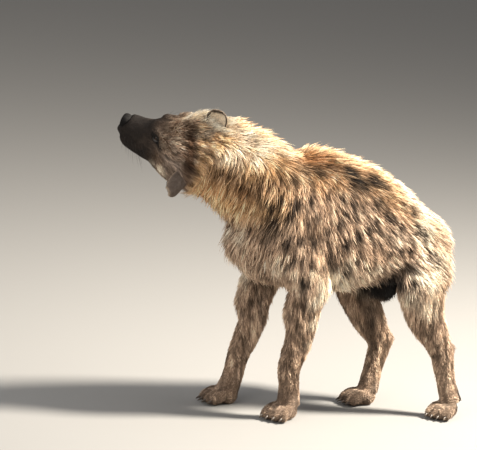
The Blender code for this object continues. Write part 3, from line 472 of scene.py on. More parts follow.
def hind_leg(side, hip, knee, hock, foot, splay):
    """Thigh, shank and the long back foot, with the point of the hock."""

    def shank(share):
        return [a * (1 - share) + b * share for a, b in zip(knee, hock)]

    upper, pastern = halfway(hip, knee), halfway(hock, foot)
    thigh = [
        (hip[0], hip[1] * 0.7, hip[2] + 0.03, 0.050, 0.088, 0.085),
        (hip[0], hip[1], hip[2] - 0.03, 0.060, 0.100, 0.096),
        (upper[0] + 0.010, upper[1], upper[2] - 0.01, 0.062, 0.092, 0.104),
        (knee[0] + 0.022, knee[1], knee[2] + 0.01, 0.055, 0.070, 0.084),
        (*shank(0.4), 0.046, 0.054, 0.064),
        (*shank(0.8), 0.036, 0.041, 0.048),
        (*hock, 0.032, 0.037, 0.040),
    ]
    lower = [
        (hock[0] * 0.85 + knee[0] * 0.15, hock[1], hock[2] + 0.035, 0.030, 0.036, 0.036),
        (*hock, 0.032, 0.037, 0.042),
        (pastern[0] + 0.008, pastern[1], pastern[2], 0.031, 0.033, 0.036),
        (foot[0] + 0.020, foot[1], 0.045, 0.035, 0.034, 0.038),
    ]
    legs = [tube(loft(rows, up=(-1, 0, 0))) for rows in (thigh, lower)]
    legs.append(ball(np.array((hock[0] + 0.026, hock[1], hock[2] + 0.012)), (0.022, 0.020, 0.026)))
    return legs, paw(foot, splay, HIND_PAW_WIDTH, HIND_PAW_LENGTH)


FRONT_LEGS = {
    "front_left": dict(
        side=-1, elbow=(0.046, -0.110, 0.440), wrist=(0.006, -0.104, 0.165), foot=(0.000, -0.100),
        splay=26,
    ),
    "front_right": dict(
        side=1, elbow=(0.012, 0.114, 0.440), wrist=(-0.046, 0.128, 0.155), foot=(-0.088, 0.130),
        splay=0,
    ),
}
HIND_LEGS = {
    "hind_left": dict(
        side=-1, hip=(0.470, -0.075, 0.565), knee=(0.430, -0.112, 0.395), hock=(0.540, -0.135, 0.205),
        foot=(0.556, -0.165, 0.03), splay=30,
    ),
    "hind_right": dict(
        side=1, hip=(0.455, 0.075, 0.565), knee=(0.325, 0.090, 0.375), hock=(0.430, 0.060, 0.200),
        foot=(0.370, 0.045, 0.03), splay=-2,
    ),
}
LEGS = {**FRONT_LEGS, **HIND_LEGS}


def top_joint(leg):
    return leg.get("elbow", leg.get("knee"))


def low_joint(leg):
    return leg.get("wrist", leg.get("hock"))


def ear_axes(side):
    """Where an ear is rooted, the way it points and the way its cup faces."""
    if side > 0:
        base = on_head((0.243, 0.086, 0.002))
        along = LEFT * 0.93 - UP * 0.05 + FORWARD * 0.20
        opening = FORWARD * 0.72 - UP * 0.42 + LEFT * 0.15
    else:
        base = on_head((0.266, -0.018, 0.080))
        along = UP * 0.84 - LEFT * 0.45 + FORWARD * 0.30
        opening = FORWARD * 0.25 + LEFT * 0.45 + UP * 0.55
    along = unit(along)
    return base, along, unit(opening - along * (opening @ along))


def head_limb(rows, **options):
    """A closed loft on the head, from rows of back, left, up, half-width, above and below."""
    rows = np.array(rows, float)
    return tube(loft(np.hstack([on_head(rows[:, :3]), rows[:, 3:] * HEAD_SIZE]), up=UP, **options))


def head_ball(place, radii):
    """A ball on the head, its radii along forward, left and up."""
    return ball(on_head(place), np.array(radii) * HEAD_SIZE, (FORWARD, LEFT, UP))


def head_forms():
    """Muzzle and skull, the lower jaw, cheeks, brows and lips."""
    muzzle = [
        (0.004, 0, -0.010, 0.022, 0.022, 0.024),
        (0.012, 0, -0.014, 0.031, 0.031, 0.038),
        (0.032, 0, -0.016, 0.037, 0.036, 0.046),
        (0.062, 0, -0.016, 0.040, 0.043, 0.048),
        (0.092, 0, -0.012, 0.044, 0.052, 0.050),
        (0.120, 0, -0.004, 0.053, 0.062, 0.056),
        (0.148, 0, 0.000, 0.065, 0.072, 0.064),
        (0.183, 0, 0.002, 0.077, 0.082, 0.070),
        (0.223, 0, 0.004, 0.085, 0.090, 0.076),
        (0.263, 0, 0.004, 0.086, 0.092, 0.080),
        (0.305, 0, 0.002, 0.082, 0.088, 0.080),
        (0.345, 0, -0.004, 0.070, 0.074, 0.070),
    ]
    jaw = [
        (0.020, 0, -0.058, 0.019, 0.016, 0.012),
        (0.048, 0, -0.063, 0.026, 0.024, 0.017),
        (0.088, 0, -0.064, 0.032, 0.030, 0.020),
        (0.138, 0, -0.062, 0.044, 0.040, 0.024),
        (0.190, 0, -0.056, 0.056, 0.050, 0.030),
        (0.250, 0, -0.046, 0.066, 0.056, 0.038),
    ]
    forms = [
        head_limb(muzzle, squareness=0.86),
        head_limb(jaw, squareness=0.90),
        head_ball((0.205, 0, 0.048), (0.070, 0.052, 0.056)),
    ]
    for side in (-1, 1):
        cheek = [
            (0.120, side * 0.042, -0.034, 0.018, 0.024, 0.024),
            (0.160, side * 0.054, -0.028, 0.029, 0.042, 0.034),
            (0.200, side * 0.064, -0.016, 0.033, 0.050, 0.040),
            (0.250, side * 0.066, -0.006, 0.032, 0.050, 0.042),
        ]
        lip = [
            (0.014, side * 0.018, -0.046, 0.010, 0.012, 0.009),
            (0.034, side * 0.031, -0.051, 0.012, 0.016, 0.010),
            (0.070, side * 0.036, -0.054, 0.012, 0.018, 0.010),
            (0.110, side * 0.042, -0.051, 0.012, 0.018, 0.010),
            (0.134, side * 0.050, -0.045, 0.008, 0.012, 0.009),
        ]
        forms += [
            head_limb(cheek),
            head_limb(lip),
            head_ball((0.132, side * 0.032, 0.046), (0.036, 0.020, 0.020)),
            head_ball((0.188, side * 0.046, 0.034), (0.064, 0.040, 0.046)),
            head_ball((0.234, side * 0.070, 0.016), (0.042, 0.026, 0.046)),
        ]
    return forms


TAIL = [
    (TRUNK_REAR - 0.055, 0.000, 0.560, 0.024, 0.024, 0.024),
    (TRUNK_REAR - 0.010, 0.000, 0.545, 0.022, 0.022, 0.022),
    (TRUNK_REAR + 0.014, -0.001, 0.505, 0.018, 0.018, 0.018),
    (TRUNK_REAR + 0.018, -0.002, 0.450, 0.014, 0.014, 0.014),
    (TRUNK_REAR + 0.016, -0.003, 0.400, 0.010, 0.010, 0.010),
    (TRUNK_REAR + 0.013, -0.003, 0.370, 0.005, 0.005, 0.005),
]

HEAD_CUT_POINT = np.array((-0.242, 0.062, 0.815))
HEAD_CUT_NORMAL = unit(np.array((-0.76, 0.47, 0.45)))
SPINE_X = (-0.285, -0.245, -0.190, -0.125, -0.050, 0.030, 0.130, 0.230, 0.330, 0.420, 0.550)
SPINE_TOP = (0.900, 0.900, 0.890, 0.866, 0.840, 0.835, 0.835, 0.806, 0.758, 0.698, 0.590)


def toward_head(points):
    """How far places lie past the cut between neck and head."""
    return (points - HEAD_CUT_POINT) @ HEAD_CUT_NORMAL


def crest_share(points):
    """1 along the top of the neck and the withers, fading down the sides and towards the rump."""
    top = np.interp(points[:, 0], SPINE_X, SPINE_TOP)
    near_top = ease(points[:, 2], top - 0.085, top - 0.025)
    return near_top * (1 - ease(points[:, 0], 0.16, 0.34))


def leg_share(points):
    """1 on the legs, 0 on the trunk."""
    leg_top = 0.400 - 0.070 * ease(points[:, 0], 0.14, 0.18) * (1 - ease(points[:, 0], 0.27, 0.31))
    return 1 - ease(points[:, 2], leg_top, leg_top + 0.090)


def coat_depth(points):
    """How far the skin lies under the outline of the solids."""
    head = ease(toward_head(points), -0.045, -0.005)
    back = head_places(points)[:, 0]
    face = FACE_DEPTH + (CHEEK_DEPTH - FACE_DEPTH) * ease(back, 0.09, 0.17)
    leg = leg_share(points)
    limb_depth = PAW_DEPTH + (LEG_DEPTH - PAW_DEPTH) * ease(points[:, 2], 0.06, 0.12)
    trunk_depth = FLANK_DEPTH + (CREST_DEPTH - FLANK_DEPTH) * crest_share(points)
    depth = trunk_depth * (1 - leg) + limb_depth * leg
    return depth * (1 - head) + face * head


def distance_to(points, curve):
    """Each point's distance to the nearest point of a curve given as many points."""
    best = np.full(len(points), np.inf)
    for place in curve:
        best = np.minimum(best, ((points - place) ** 2).sum(1))
    return np.sqrt(best)


def coat_surface(points, normals):
    """Places most of the way up the coat that stands on the skin's places."""
    return points + normals * (SURFACE_SHARE * coat_sizes(points)[2])[:, None]


def mouth_line():
    """The gap between the lips, from one corner of the mouth round the front to the other."""
    line = [
        (0.136, 0.068, -0.049), (0.105, 0.058, -0.062), (0.070, 0.051, -0.066), (0.036, 0.044, -0.064),
        (0.010, 0.030, -0.058), (0.000, 0.000, -0.054),
    ]
    line += [(back, -left, up) for back, left, up in reversed(line[:-1])]
    return on_head(smooth_rows(line, 14))


def eye_axes(side):
    """Out of the eye, towards its inner corner, and up across the lids."""
    outward = unit(LEFT * side * 0.80 + FORWARD * 0.42 + UP * 0.42)
    corner = FORWARD * 0.80 - LEFT * side * 0.32 + UP * 0.10
    corner = unit(corner - outward * (corner @ outward))
    rise = np.cross(outward, corner)
    return outward, corner, rise * np.sign(rise @ UP)


def face_creases():
    """Folds of the face as curves on the head, with their depth and half-width."""
    creases = []
    for side in (-1, 1):
        creases += [
            ([(0.100, 0.030, 0.052), (0.118, 0.042, 0.058), (0.140, 0.052, 0.052)], 0.0016, 0.0030),
            ([(0.104, 0.050, 0.008), (0.122, 0.062, 0.006), (0.142, 0.072, 0.010)], 0.0014, 0.0032),
            ([(0.030, 0.030, 0.012), (0.036, 0.038, -0.006), (0.036, 0.042, -0.026)], 0.0009, 0.0020),
            ([(0.042, 0.030, 0.016), (0.048, 0.039, -0.002), (0.050, 0.043, -0.022)], 0.0009, 0.0020),
            ([(0.056, 0.030, 0.020), (0.062, 0.040, 0.002), (0.066, 0.044, -0.018)], 0.0008, 0.0020),
            ([(0.118, 0.064, -0.030), (0.134, 0.074, -0.036), (0.150, 0.080, -0.050)], 0.0016, 0.0034),
        ]
        for curve, _, _ in creases[-6:]:
            curve[:] = [(back, side * left, up) for back, left, up in curve]
    return creases


def sculpted_head(points, quads):
    """The head's skin with the mouth's groove, lips, folds and eye sockets pressed into it."""
    normals = quad_normals(points, quads)
    mouth = distance_to(points, mouth_line())
    push = -0.0042 * bell(mouth, 0.0024) + 0.0013 * bell(mouth - 0.0062, 0.0032)
    for curve, depth, width in face_creases():
        near = distance_to(points, on_head(smooth_rows(curve, 8)))
        push -= depth * bell(near, width)
        push += 0.35 * depth * bell(near - 2.2 * width, width)
    points = points + normals * push[:, None]
    for side in (-1, 1):
        outward = eye_axes(side)[0]
        away = points - eye_centre(side)
        near = 1 - ease(np.linalg.norm(away, axis=1), EYE_RADIUS * 1.02, EYE_RADIUS * 1.22)
        height = away @ outward
        points = points - outward * (near * np.maximum(height + EYE_RADIUS * 0.9, 0))[:, None]
    return points


def build_skin():
    """The skin of the body, head, paws and tail, drawn in by the coat's depth."""
    limbs = [front_leg(**leg) for leg in FRONT_LEGS.values()]
    limbs += [hind_leg(**leg) for leg in HIND_LEGS.values()]
    legs = [form for forms, _ in limbs for form in forms]
    paws = [form for _, forms in limbs for form in forms]
    parts = []
    head = [neck(), *head_forms()]
    # The groin: a bulge between the thighs. The tone paints it black, partly its bare dark skin and partly
    # painted shade in the crotch.
    groin = ball(np.array((0.386, 0.0, 0.408)), (0.054, 0.034, 0.047))
    for forms, voxel, smoothing, wanted in (
        (
            [trunk(), groin, *head, *legs, *paws], BODY_VOXEL, BODY_SMOOTHING,
            lambda p: (toward_head(p) < HEAD_OVERLAP) & (p[:, 2] > BODY_LOWEST),
        ),
        (head, HEAD_VOXEL, HEAD_SMOOTHING, lambda p: toward_head(p) > 0.0),
        ([*legs, *paws], PAW_VOXEL, PAW_SMOOTHING, lambda p: p[:, 2] < PAW_HIGHEST),
    ):
        points, quads = fused(forms, voxel, smoothing)
        points = points - quad_normals(points, quads) * coat_depth(points)[:, None]
        if voxel == HEAD_VOXEL:
            points = sculpted_head(points, quads)
        points[:, 2] = np.maximum(points[:, 2], SKIN_LOWEST)
        parts.append(kept(points, quads, wanted(points)))
    tail_points, tail_faces = tube(loft(TAIL, up=(1, 0, 0), around=20))
    normals = [quad_normals(*part) for part in parts]
    normals.append(quad_normals(tail_points, tail_faces[0]))
    points, faces = gathered([(p, [q]) for p, q in parts] + [(tail_points, tail_faces)])
    return points, faces, np.vstack(normals)


# The photograph's view


def camera_axes():
    """Right, up and back of the camera: the azimuth and elevation, then the roll."""
    a, e = CAMERA_AZIMUTH, CAMERA_ELEVATION
    back = np.array((math.sin(a) * math.cos(e), -math.cos(a) * math.cos(e), math.sin(e)))
    level = np.array((math.cos(a), math.sin(a), 0.0))
    up = np.cross(back, level)
    right = level * math.cos(CAMERA_ROLL) + up * math.sin(CAMERA_ROLL)
    return right, np.cross(back, right), back


def camera_place():
    """Where the camera stands: back from the aim, and moved so that the aim shows at its pixel."""
    right, up, back = camera_axes()
    across = (AIM_PIXEL[0] - PHOTO_WIDTH / 2) / FOCAL_PIXELS * CAMERA_DISTANCE
    down = (AIM_PIXEL[1] - PHOTO_HEIGHT / 2) / FOCAL_PIXELS * CAMERA_DISTANCE
    return AIM + back * CAMERA_DISTANCE - right * across + up * down


def seen_places(surface, pixels):
    """Where lines of sight through pixels of the photograph meet the skin."""
    right, up, back = camera_axes()
    eye = camera_place()
    places = []
    for x, y in pixels:
        way = right * (x - PHOTO_WIDTH / 2) - up * (y - PHOTO_HEIGHT / 2) - back * FOCAL_PIXELS
        way = way / np.linalg.norm(way)
        hit = surface.ray_cast(Vector(eye), Vector(way))[0]
        if hit is None:
            near = eye + way * ((AIM - eye) @ way)
            hit = surface.find_nearest(Vector(near))[0]
        places.append(tuple(hit))
    return np.array(places)


# Markings

# Spots on the trunk and neck, by pixel of the photograph, with their radius in pixels
SPOTS = [
    (280, 202, 6), (298, 204, 5.5), (311, 202, 5), (271, 211, 5.5), (272, 224, 5.5), (294, 212, 5.5),
    (290, 220, 5), (317, 219, 5), (301, 243, 5), (286, 245, 5), (314, 245, 4.5), (292, 261, 5.5),
    (286, 266, 5), (305, 284, 5.5), (309, 226, 4), (262, 229, 4), (267, 203, 4.5), (336, 268, 5),
    (338, 284, 4.5), (327, 233, 4.5), (343, 198, 5), (355, 207, 5), (356, 217, 5), (347, 215, 4.5),
    (340, 225, 6), (364, 212, 4), (374, 209, 5), (379, 204, 4.5), (369, 230, 5.5), (376, 224, 5),
    (359, 238, 6), (347, 246, 6.5), (346, 274, 5), (388, 218, 5.5), (394, 222, 5.5), (414, 213, 5.5),
    (404, 205, 4.5), (418, 229, 5.5), (426, 236, 5), (414, 244, 5), (412, 252, 5), (430, 257, 5),
    (438, 264, 5), (403, 228, 4), (375, 245, 4.5), (401, 253, 4.5), (390, 255, 4), (406, 269, 5),
    (416, 271, 4.5), (414, 285, 4.5), (330, 262, 4), (357, 262, 4), (312, 268, 4.5), (277, 276, 4),
]

# Larger areas of another tone: pixel, radius in pixels, tone, strength. Some paint sunlight and some paint
# shade, as noted below.
AREAS = [
    (236, 180, 15, BROWN, 0.70), (252, 190, 17, BROWN, 0.70), (268, 196, 14, BROWN, 0.55),
    (222, 173, 12, BROWN, 0.55), (210, 174, 9, BROWN, 0.50), (240, 196, 12, RUST, 0.30),
    # The creams on the nape, on this line and the next three, are its pale hair made paler by painted
    # sunlight on the top of the neck.
    (205, 195, 14, RUST, 0.45), (224, 206, 13, GOLD, 0.75), (250, 138, 16, CREAM, 1.00),
    (270, 147, 14, CREAM, 0.95), (232, 128, 12, CREAM, 1.00), (286, 153, 9, CREAM, 0.8),
    (222, 150, 12, GOLD, 0.45), (238, 156, 14, CREAM, 0.80), (258, 161, 13, CREAM, 0.65),
    (220, 158, 10, CREAM, 0.50), (248, 174, 9, GOLD, 0.5), (312, 157, 14, RUST, 0.80),
    (326, 158, 12, RUST, 0.75), (298, 160, 10, BROWN, 0.65), (336, 164, 11, RUST, 0.60),
    (315, 152, 10, GOLD, 0.45), (330, 154, 9, GOLD, 0.40), (272, 186, 9, BROWN, 0.45),
    # The creams and pales on the rump and along the belly's lower edge are pale hair made paler by painted
    # sunlight.
    (320, 184, 10, GOLD, 0.45), (338, 186, 9, GOLD, 0.45), (425, 232, 17, CREAM, 0.90),
    (440, 262, 15, CREAM, 0.85), (405, 190, 13, CREAM, 0.75), (393, 182, 8, GOLD, 0.5),
    (425, 212, 14, CREAM, 0.90), (436, 285, 14, CREAM, 0.85), (430, 310, 13, CREAM, 0.65),
    (412, 200, 12, CREAM, 0.8), (330, 279, 15, CREAM, 0.95), (346, 284, 13, CREAM, 0.95),
    (362, 288, 10, CREAM, 0.90), (377, 272, 9, CREAM, 0.7), (322, 294, 10, CREAM, 0.85),
    (314, 306, 9, CREAM, 0.80), (300, 290, 10, PALE, 0.5), (350, 268, 11, CREAM, 0.5),
    (227, 235, 10, CREAM, 0.80), (225, 255, 10, CREAM, 0.80), (230, 275, 10, CREAM, 0.7),
    (238, 290, 9, PALE, 0.6), (412, 300, 13, CREAM, 0.60), (420, 278, 13, CREAM, 0.65),
    (400, 240, 12, PALE, 0.70), (385, 235, 10, PALE, 0.4), (247, 232, 8, BROWN, 0.75),
    (252, 245, 8, BROWN, 0.70), (256, 262, 7, BROWN, 0.50), (268, 284, 7, DARK, 0.6),
    (262, 275, 7, BROWN, 0.5), (270, 300, 7, BROWN, 0.5), (285, 232, 15, GREY_BROWN, 0.50),
    (300, 255, 13, GREY_BROWN, 0.4), (335, 250, 15, GREY_BROWN, 0.25), (240, 245, 13, GREY_BROWN, 0.30),
    # The blacks between the hind legs, here and on the next line, are partly bare dark skin and partly
    # painted shade in the crotch.
    (365, 225, 14, GREY_BROWN, 0.2), (384, 287, 13, BLACK, 1.0), (392, 278, 12, BLACK, 1.0),
    (374, 295, 9, BLACK, 0.9), (399, 286, 11, BLACK, 1.0), (388, 296, 9, BLACK, 1.0),
    (367, 178, 7, RUST, 0.7), (276, 183, 9, BROWN, 0.7), (290, 179, 10, DARK, 0.75),
    (304, 174, 9, DARK, 0.80), (319, 172, 9, DARK, 0.80), (333, 170, 8, DARK, 0.80),
    (347, 169, 9, BLACK, 1.0), (352, 176, 10, BLACK, 1.0), (359, 182, 10, BLACK, 1.0),
    (366, 188, 8, BLACK, 0.90), (354, 190, 8, DARK, 0.7), (371, 181, 10, BLACK, 1.0),
    (379, 185, 10, BLACK, 1.0), (387, 189, 9, BLACK, 0.95), (312, 325, 6, CREAM, 0.8),
    (308, 345, 6, CREAM, 0.7), (304, 366, 6, CREAM, 0.6),
]

# The same on the head, folded onto both of its sides
FACE_AREAS = [
    # The creams and pales on the crown, on this line and the next two, are its pale hair made paler by
    # painted sunlight. Those beside the right ear also paint light over the ear's shadow, and those on the
    # brow's top edge are a painted highlight.
    (203, 116, 7, CREAM, 1.00), (206, 123, 7, CREAM, 1.00), (208, 134, 6, CREAM, 0.90),
    (194, 109, 6, CREAM, 0.9), (201, 127, 6, CREAM, 0.5), (187, 111, 5, PALE, 0.8),
    (172, 112, 5, CREAM, 0.95), (165, 113, 4, PALE, 0.6), (203, 142, 6, GOLD, 0.75),
    (200, 130, 5.5, GOLD, 0.7), (201, 154, 6, GOLD, 0.55), (206, 148, 6, PALE, 0.45),
    (160, 122, 7, BROWN, 0.55), (175, 121, 8, BUFF, 0.5), (185, 118, 6, GREY_BROWN, 0.5),
    (183, 124, 5, BROWN, 0.5), (188, 131, 6, BROWN, 0.80), (188, 141, 7, BROWN, 0.92),
    (188, 152, 7, BROWN, 0.95), (190, 163, 7, BROWN, 0.85), (196, 172, 6, BROWN, 0.65),
    (187, 160, 5, DARK, 0.45), (187, 147, 5, DARK, 0.55), (171, 140, 7, GREY, 0.50),
    (176, 152, 8, GREY, 0.55), (168, 161, 8, GREY, 0.65), (177, 168, 8, GREY, 0.70),
    (167, 170, 6, GREY_BROWN, 0.5), (154, 156, 6, TAN, 0.75), (148, 152, 5.5, TAN, 0.55),
    (160, 164, 5, TAN, 0.4), (183, 176, 4, GREY, 0.6), (192, 184, 6, GOLD, 0.6),
]


def mirrored(points):
    """Places folded onto the animal's left by its middle plane, and moved about on its right."""
    drift = swirl(points, 0.07, 40) * 0.022 * (points[:, 1:2] > 0)
    return points * (1, 0, 1) - np.abs(points[:, 1:2]) * (0, 1, 0) + drift


def face_mirrored(points):
    """Places on the head folded onto its left by its own middle plane."""
    places = head_places(points)
    return on_head(np.stack([places[:, 0], np.abs(places[:, 1]), places[:, 2]], -1))


def leg_spots():
    """Blotches on the outside of the legs, set by a seeded draw down each leg."""
    chance = np.random.default_rng(SEED)
    places, sizes = [], []
    for leg in LEGS.values():
        for share in np.linspace(-0.05, 1.05, 13):
            centre = np.array(top_joint(leg)) * (1 - share) + np.array(low_joint(leg)) * share
            for _ in range(2):
                angle = chance.uniform(0, 2 * math.pi)
                places.append(centre + np.array((math.cos(angle), math.sin(angle), 0)) * 0.040)
                sizes.append(chance.uniform(0.007, 0.012))
    return np.array(places), np.array(sizes)


class Markings:
    """The coat's tones, painted sunlight and shade among them, for the skin and for each tuft."""

    def __init__(self, surface):
        metres = CAMERA_DISTANCE / FOCAL_PIXELS
        self.spots = mirrored(seen_places(surface, [s[:2] for s in SPOTS]))
        self.spot_sizes = np.array([s[2] for s in SPOTS]) * metres
        self.areas = mirrored(seen_places(surface, [a[:2] for a in AREAS]))
        self.area_sizes = np.array([a[2] for a in AREAS]) * metres
        self.face_areas = face_mirrored(seen_places(surface, [a[:2] for a in FACE_AREAS]))
        self.face_sizes = np.array([a[2] for a in FACE_AREAS]) * metres
        self.leg_spots, self.leg_sizes = leg_spots()

    def spotted(self, points):
        """How dark the spots are: a soft edge round each one's place, bent by noise."""
        bent = mirrored(points) + swirl(points, 0.016, 7) * 0.0065
        share = np.zeros(len(points))
        for place, size in zip(self.spots, self.spot_sizes):
            away = (bent - place) * (1.10, 0.8, 0.80)
            share = np.maximum(share, 1 - ease(np.linalg.norm(away, axis=1), size * 0.65, size * 1.35))
        bent = points + swirl(points, 0.014, 9) * 0.007
        for place, size in zip(self.leg_spots, self.leg_sizes):
            away = (bent - place) * (1.0, 1.0, 0.75)
            share = np.maximum(share, 0.85 * (1 - ease(np.linalg.norm(away, axis=1), size * 0.3, size * 1.5)))
        return share

    def tone(self, points):
        """The coat's tone at each place, without the variation from hair to hair. It holds painted sunlight
        on the nape, rump, belly and crown, and painted shade in the crotch.
        """
        x, z = points[:, 0], points[:, 2]
        head = ease(toward_head(points), -0.035, 0.015)
        leg = leg_share(points)
        cloud = mottle(points, 0.060, 3)
        fine = mottle(points, 0.018, 4)
        top = np.interp(x, SPINE_X, SPINE_TOP)
        tone = mix(np.tile(BUFF, (len(points), 1)), TAN, 0.55 * cloud)
        tone = mix(tone, GOLD, 0.60 * ease(z, top - 0.16, top - 0.03) * (1 - ease(x, 0.30, 0.55)))
        tone = mix(tone, GOLD, 0.75 * (1 - ease(x, -0.14, 0.02)) * ease(z, 0.56, 0.66))
        tone = mix(tone, PALE, 0.55 * (1 - ease(z, 0.42, 0.52)) * (1 - leg))
        tone = mix(tone, PALE, 0.45 * ease(x, 0.44, 0.56))
        tone = mix(tone, TAN, leg * 0.40)
        tone = mix(tone, GREY_BROWN, leg * (0.15 + 0.50 * cloud) * (1 - ease(z, 0.34, 0.42) * 0.4))
        tone = mix(tone, BUFF, leg * 0.60 * ease(fine, 0.40, 0.70))
        tone = mix(tone, GREY_BROWN, (1 - ease(z, 0.05, 0.12)) * 0.45)
        tone = self.face_tone(points, tone, head, fine)
        folded = mirrored(points) + swirl(points, 0.030, 44) * 0.012
        for (_, _, _, colour, strength), place, size in zip(AREAS, self.areas, self.area_sizes):
            away = np.linalg.norm(folded - place, axis=1)
            tone = mix(tone, colour, strength * (1 - ease(away, size * 0.25, size * 1.35)) * (1 - head))
        # Painted shade in the crotch, over its bare dark skin: the underside between the hind legs is turned
        # black.
        under = ease(x, 0.300, 0.345) * (1 - ease(z, 0.43, 0.48)) * ease(z, 0.325, 0.365)
        under = under * (1 - ease(np.abs(points[:, 1]), 0.060, 0.095))
        tone = mix(tone, BLACK, under * (1 - ease(x, 0.47, 0.52)))
        tail = ease(x, TRUNK_REAR + 0.002, TRUNK_REAR + 0.010) * (1 - ease(z, 0.46, 0.55))
        tone = mix(tone, BROWN, tail * 0.8)
        tone = mix(tone, DARK, tail * (1 - ease(z, 0.39, 0.46)))
        return mix(tone, DARK, self.spotted(points) * (1 - head) * 0.94)

    def face_tone(self, points, tone, head, fine):
        """Black-brown muzzle, grey-brown cheeks, speckled forehead and a cream crown, its cream partly
        painted sunlight.
        """
        back, left, up = head_places(points).T
        speck = mottle(points, 0.008, 21)
        paler = 0.45 * ease(fine, 0.35, 0.75) * ease(back, 0.13, 0.17)
        face = mix(np.tile(GREY_BROWN, (len(points), 1)), BUFF, paler)
        behind = back - 0.193 - 0.55 * np.maximum(left, 0)
        face = mix(face, GOLD, 0.80 * ease(behind, 0.014, 0.034))
        brow = ease(up, 0.035, 0.060) * ease(back, 0.11, 0.14)
        face = mix(face, TAN, brow * 0.55 * (1 - ease(back, 0.20, 0.23)))
        bent = face_mirrored(points) + swirl(points, 0.016, 46) * 0.005
        for (_, _, _, colour, strength), place, size in zip(FACE_AREAS, self.face_areas, self.face_sizes):
            away = np.linalg.norm(bent - place, axis=1)
            face = mix(face, colour, strength * (1 - ease(away, size * 0.30, size * 1.45)))
        face = mix(face, PALE, brow * 0.55 * ease(speck, 0.50, 0.70))
        face = mix(face, BROWN, brow * 0.50 * (1 - ease(speck, 0.28, 0.42)))
        band = ease(behind, -0.024, -0.004) * (1 - ease(behind, 0.012, 0.026)) * ease(left, -0.012, 0.010)
        face = mix(face, BROWN * 0.70, band * 0.85 * ease(up, -0.03, 0.02))
        # Painted sunlight: the crown's top is turned cream on the head's right side only, the side turned
        # from the camera.
        crest = ease(-left, 0.002, 0.020) * ease(back, 0.148, 0.175) * ease(up, 0.02, 0.055)
        face = mix(face, CREAM, crest * (1 - ease(left, 0.0, 0.02)))
        reach = 0.128 - 0.35 * np.clip(up - 0.030, -0.1, 0.05) + 0.016 * (fine - 0.5)
        reach = reach - 0.45 * np.clip(-up - 0.012, 0, 0.1)
        dark = 1 - ease(back, reach - 0.045, reach + 0.034)
        face = mix(face, MUZZLE, dark)
        face = mix(face, GREY_BROWN * 0.55, 0.5 * dark * ease(back, 0.045, 0.10) * ease(fine, 0.3, 0.8))
        chin = (1 - ease(up, -0.080, -0.060)) * ease(back, 0.06, 0.11)
        face = mix(face, TAN, chin * 0.7)
        for eye_side in (-1, 1):
            outward, corner, rise = eye_axes(eye_side)
            away = points - eye_centre(eye_side)
            a, r = away @ corner, away @ rise
            rim = np.sqrt((a / 0.024) ** 2 + (r / 0.015) ** 2)
            near = ease(away @ outward, -0.030, -0.020)
            face = mix(face, BLACK, 0.95 * near * (1 - ease(rim, 0.75, 1.35)))
            streak = np.sqrt(((a + 0.030) / 0.028) ** 2 + ((r + 0.004 + 0.15 * (a + 0.026)) / 0.0070) ** 2)
            face = mix(face, BLACK, 0.9 * near * (1 - ease(streak, 0.6, 1.3)))
        lips = distance_to(points, mouth_line()[::4])
        face = mix(face, BLACK, 0.9 * (1 - ease(lips, 0.004, 0.010)) * (1 - ease(back, 0.100, 0.128)))
        return mix(tone, face, head)


# The coat


# The lie of the coat along the trunk: how far it runs back, how far it drops, and how much further
# back it runs along the spine
LIE_X = (-0.28, -0.12, 0.00, 0.10, 0.22, 0.40, 0.56)
LIE_RUN = (-0.42, -0.30, -0.04, 0.30, 0.62, 0.85, 0.62)
LIE_DROP = (0.85, 0.95, 1.00, 0.95, 0.85, 0.72, 0.85)
LIE_SPINE_RUN = (1.05, 0.90, 0.75, 0.7, 0.6, 0.5, 0.4)


def streaks(points, size, seed):
    """Noise drawn out along the lie: it changes four times as fast across the lie as along it."""
    x, y, z = points.T
    leg = leg_share(points)
    run = np.interp(x, LIE_X, LIE_RUN) * (1 - leg) + 0.1 * leg
    drop = np.interp(x, LIE_X, LIE_DROP)
    body = np.stack([x * drop + (z - 0.6) * run, y, (x * run - (z - 0.6) * drop) * 0.25], -1)
    face = head_places(points) * (0.25, 1, 1)
    return mottle(np.where((toward_head(points) > 0)[:, None], face, body), size, seed)


def hair_lie(points, normals):
    """The way the hair lies: forward and down on the neck, down at the shoulder, back and down over
    the flank and rump, down the legs, forward over the toes, and back from the nose on the head."""
    x, z = points[:, 0], points[:, 2]
    run = np.interp(x, LIE_X, LIE_RUN)
    drop = -np.interp(x, LIE_X, LIE_DROP)
    top = np.interp(x, SPINE_X, SPINE_TOP)
    spine = ease(z, top - 0.10, top - 0.01)
    run = run + spine * np.interp(x, LIE_X, LIE_SPINE_RUN)
    drop = drop * (1 - 0.75 * spine * (1 - ease(x, -0.05, 0.10)))
    leg = leg_share(points)
    run = run * (1 - leg) + 0.12 * leg
    drop = drop * (1 - leg) - leg
    paws = 1 - ease(z, 0.055, 0.095)
    way = np.stack([run - paws * 1.5, 0.10 * np.sign(points[:, 1]) * (1 - leg), drop + paws * 0.55], -1)
    head = ease(toward_head(points), -0.020, 0.020)
    back, left, up = head_places(points).T
    side = np.clip(left / 0.05, -1, 1)
    sink = 0.35 * ease(-up, -0.03, 0.03) * ease(back, 0.10, 0.16)
    rise = 0.25 * ease(up, 0.05, 0.08) * ease(back, 0.15, 0.18)
    face = -FORWARD + LEFT * (0.22 * side)[:, None] - UP * sink[:, None] + UP * rise[:, None]
    way = mix(way, face, head)
    way = way + swirl(points, 0.050, 11) * 0.16 + swirl(points, 0.014, 15) * 0.16
    return laid_on(way, normals)


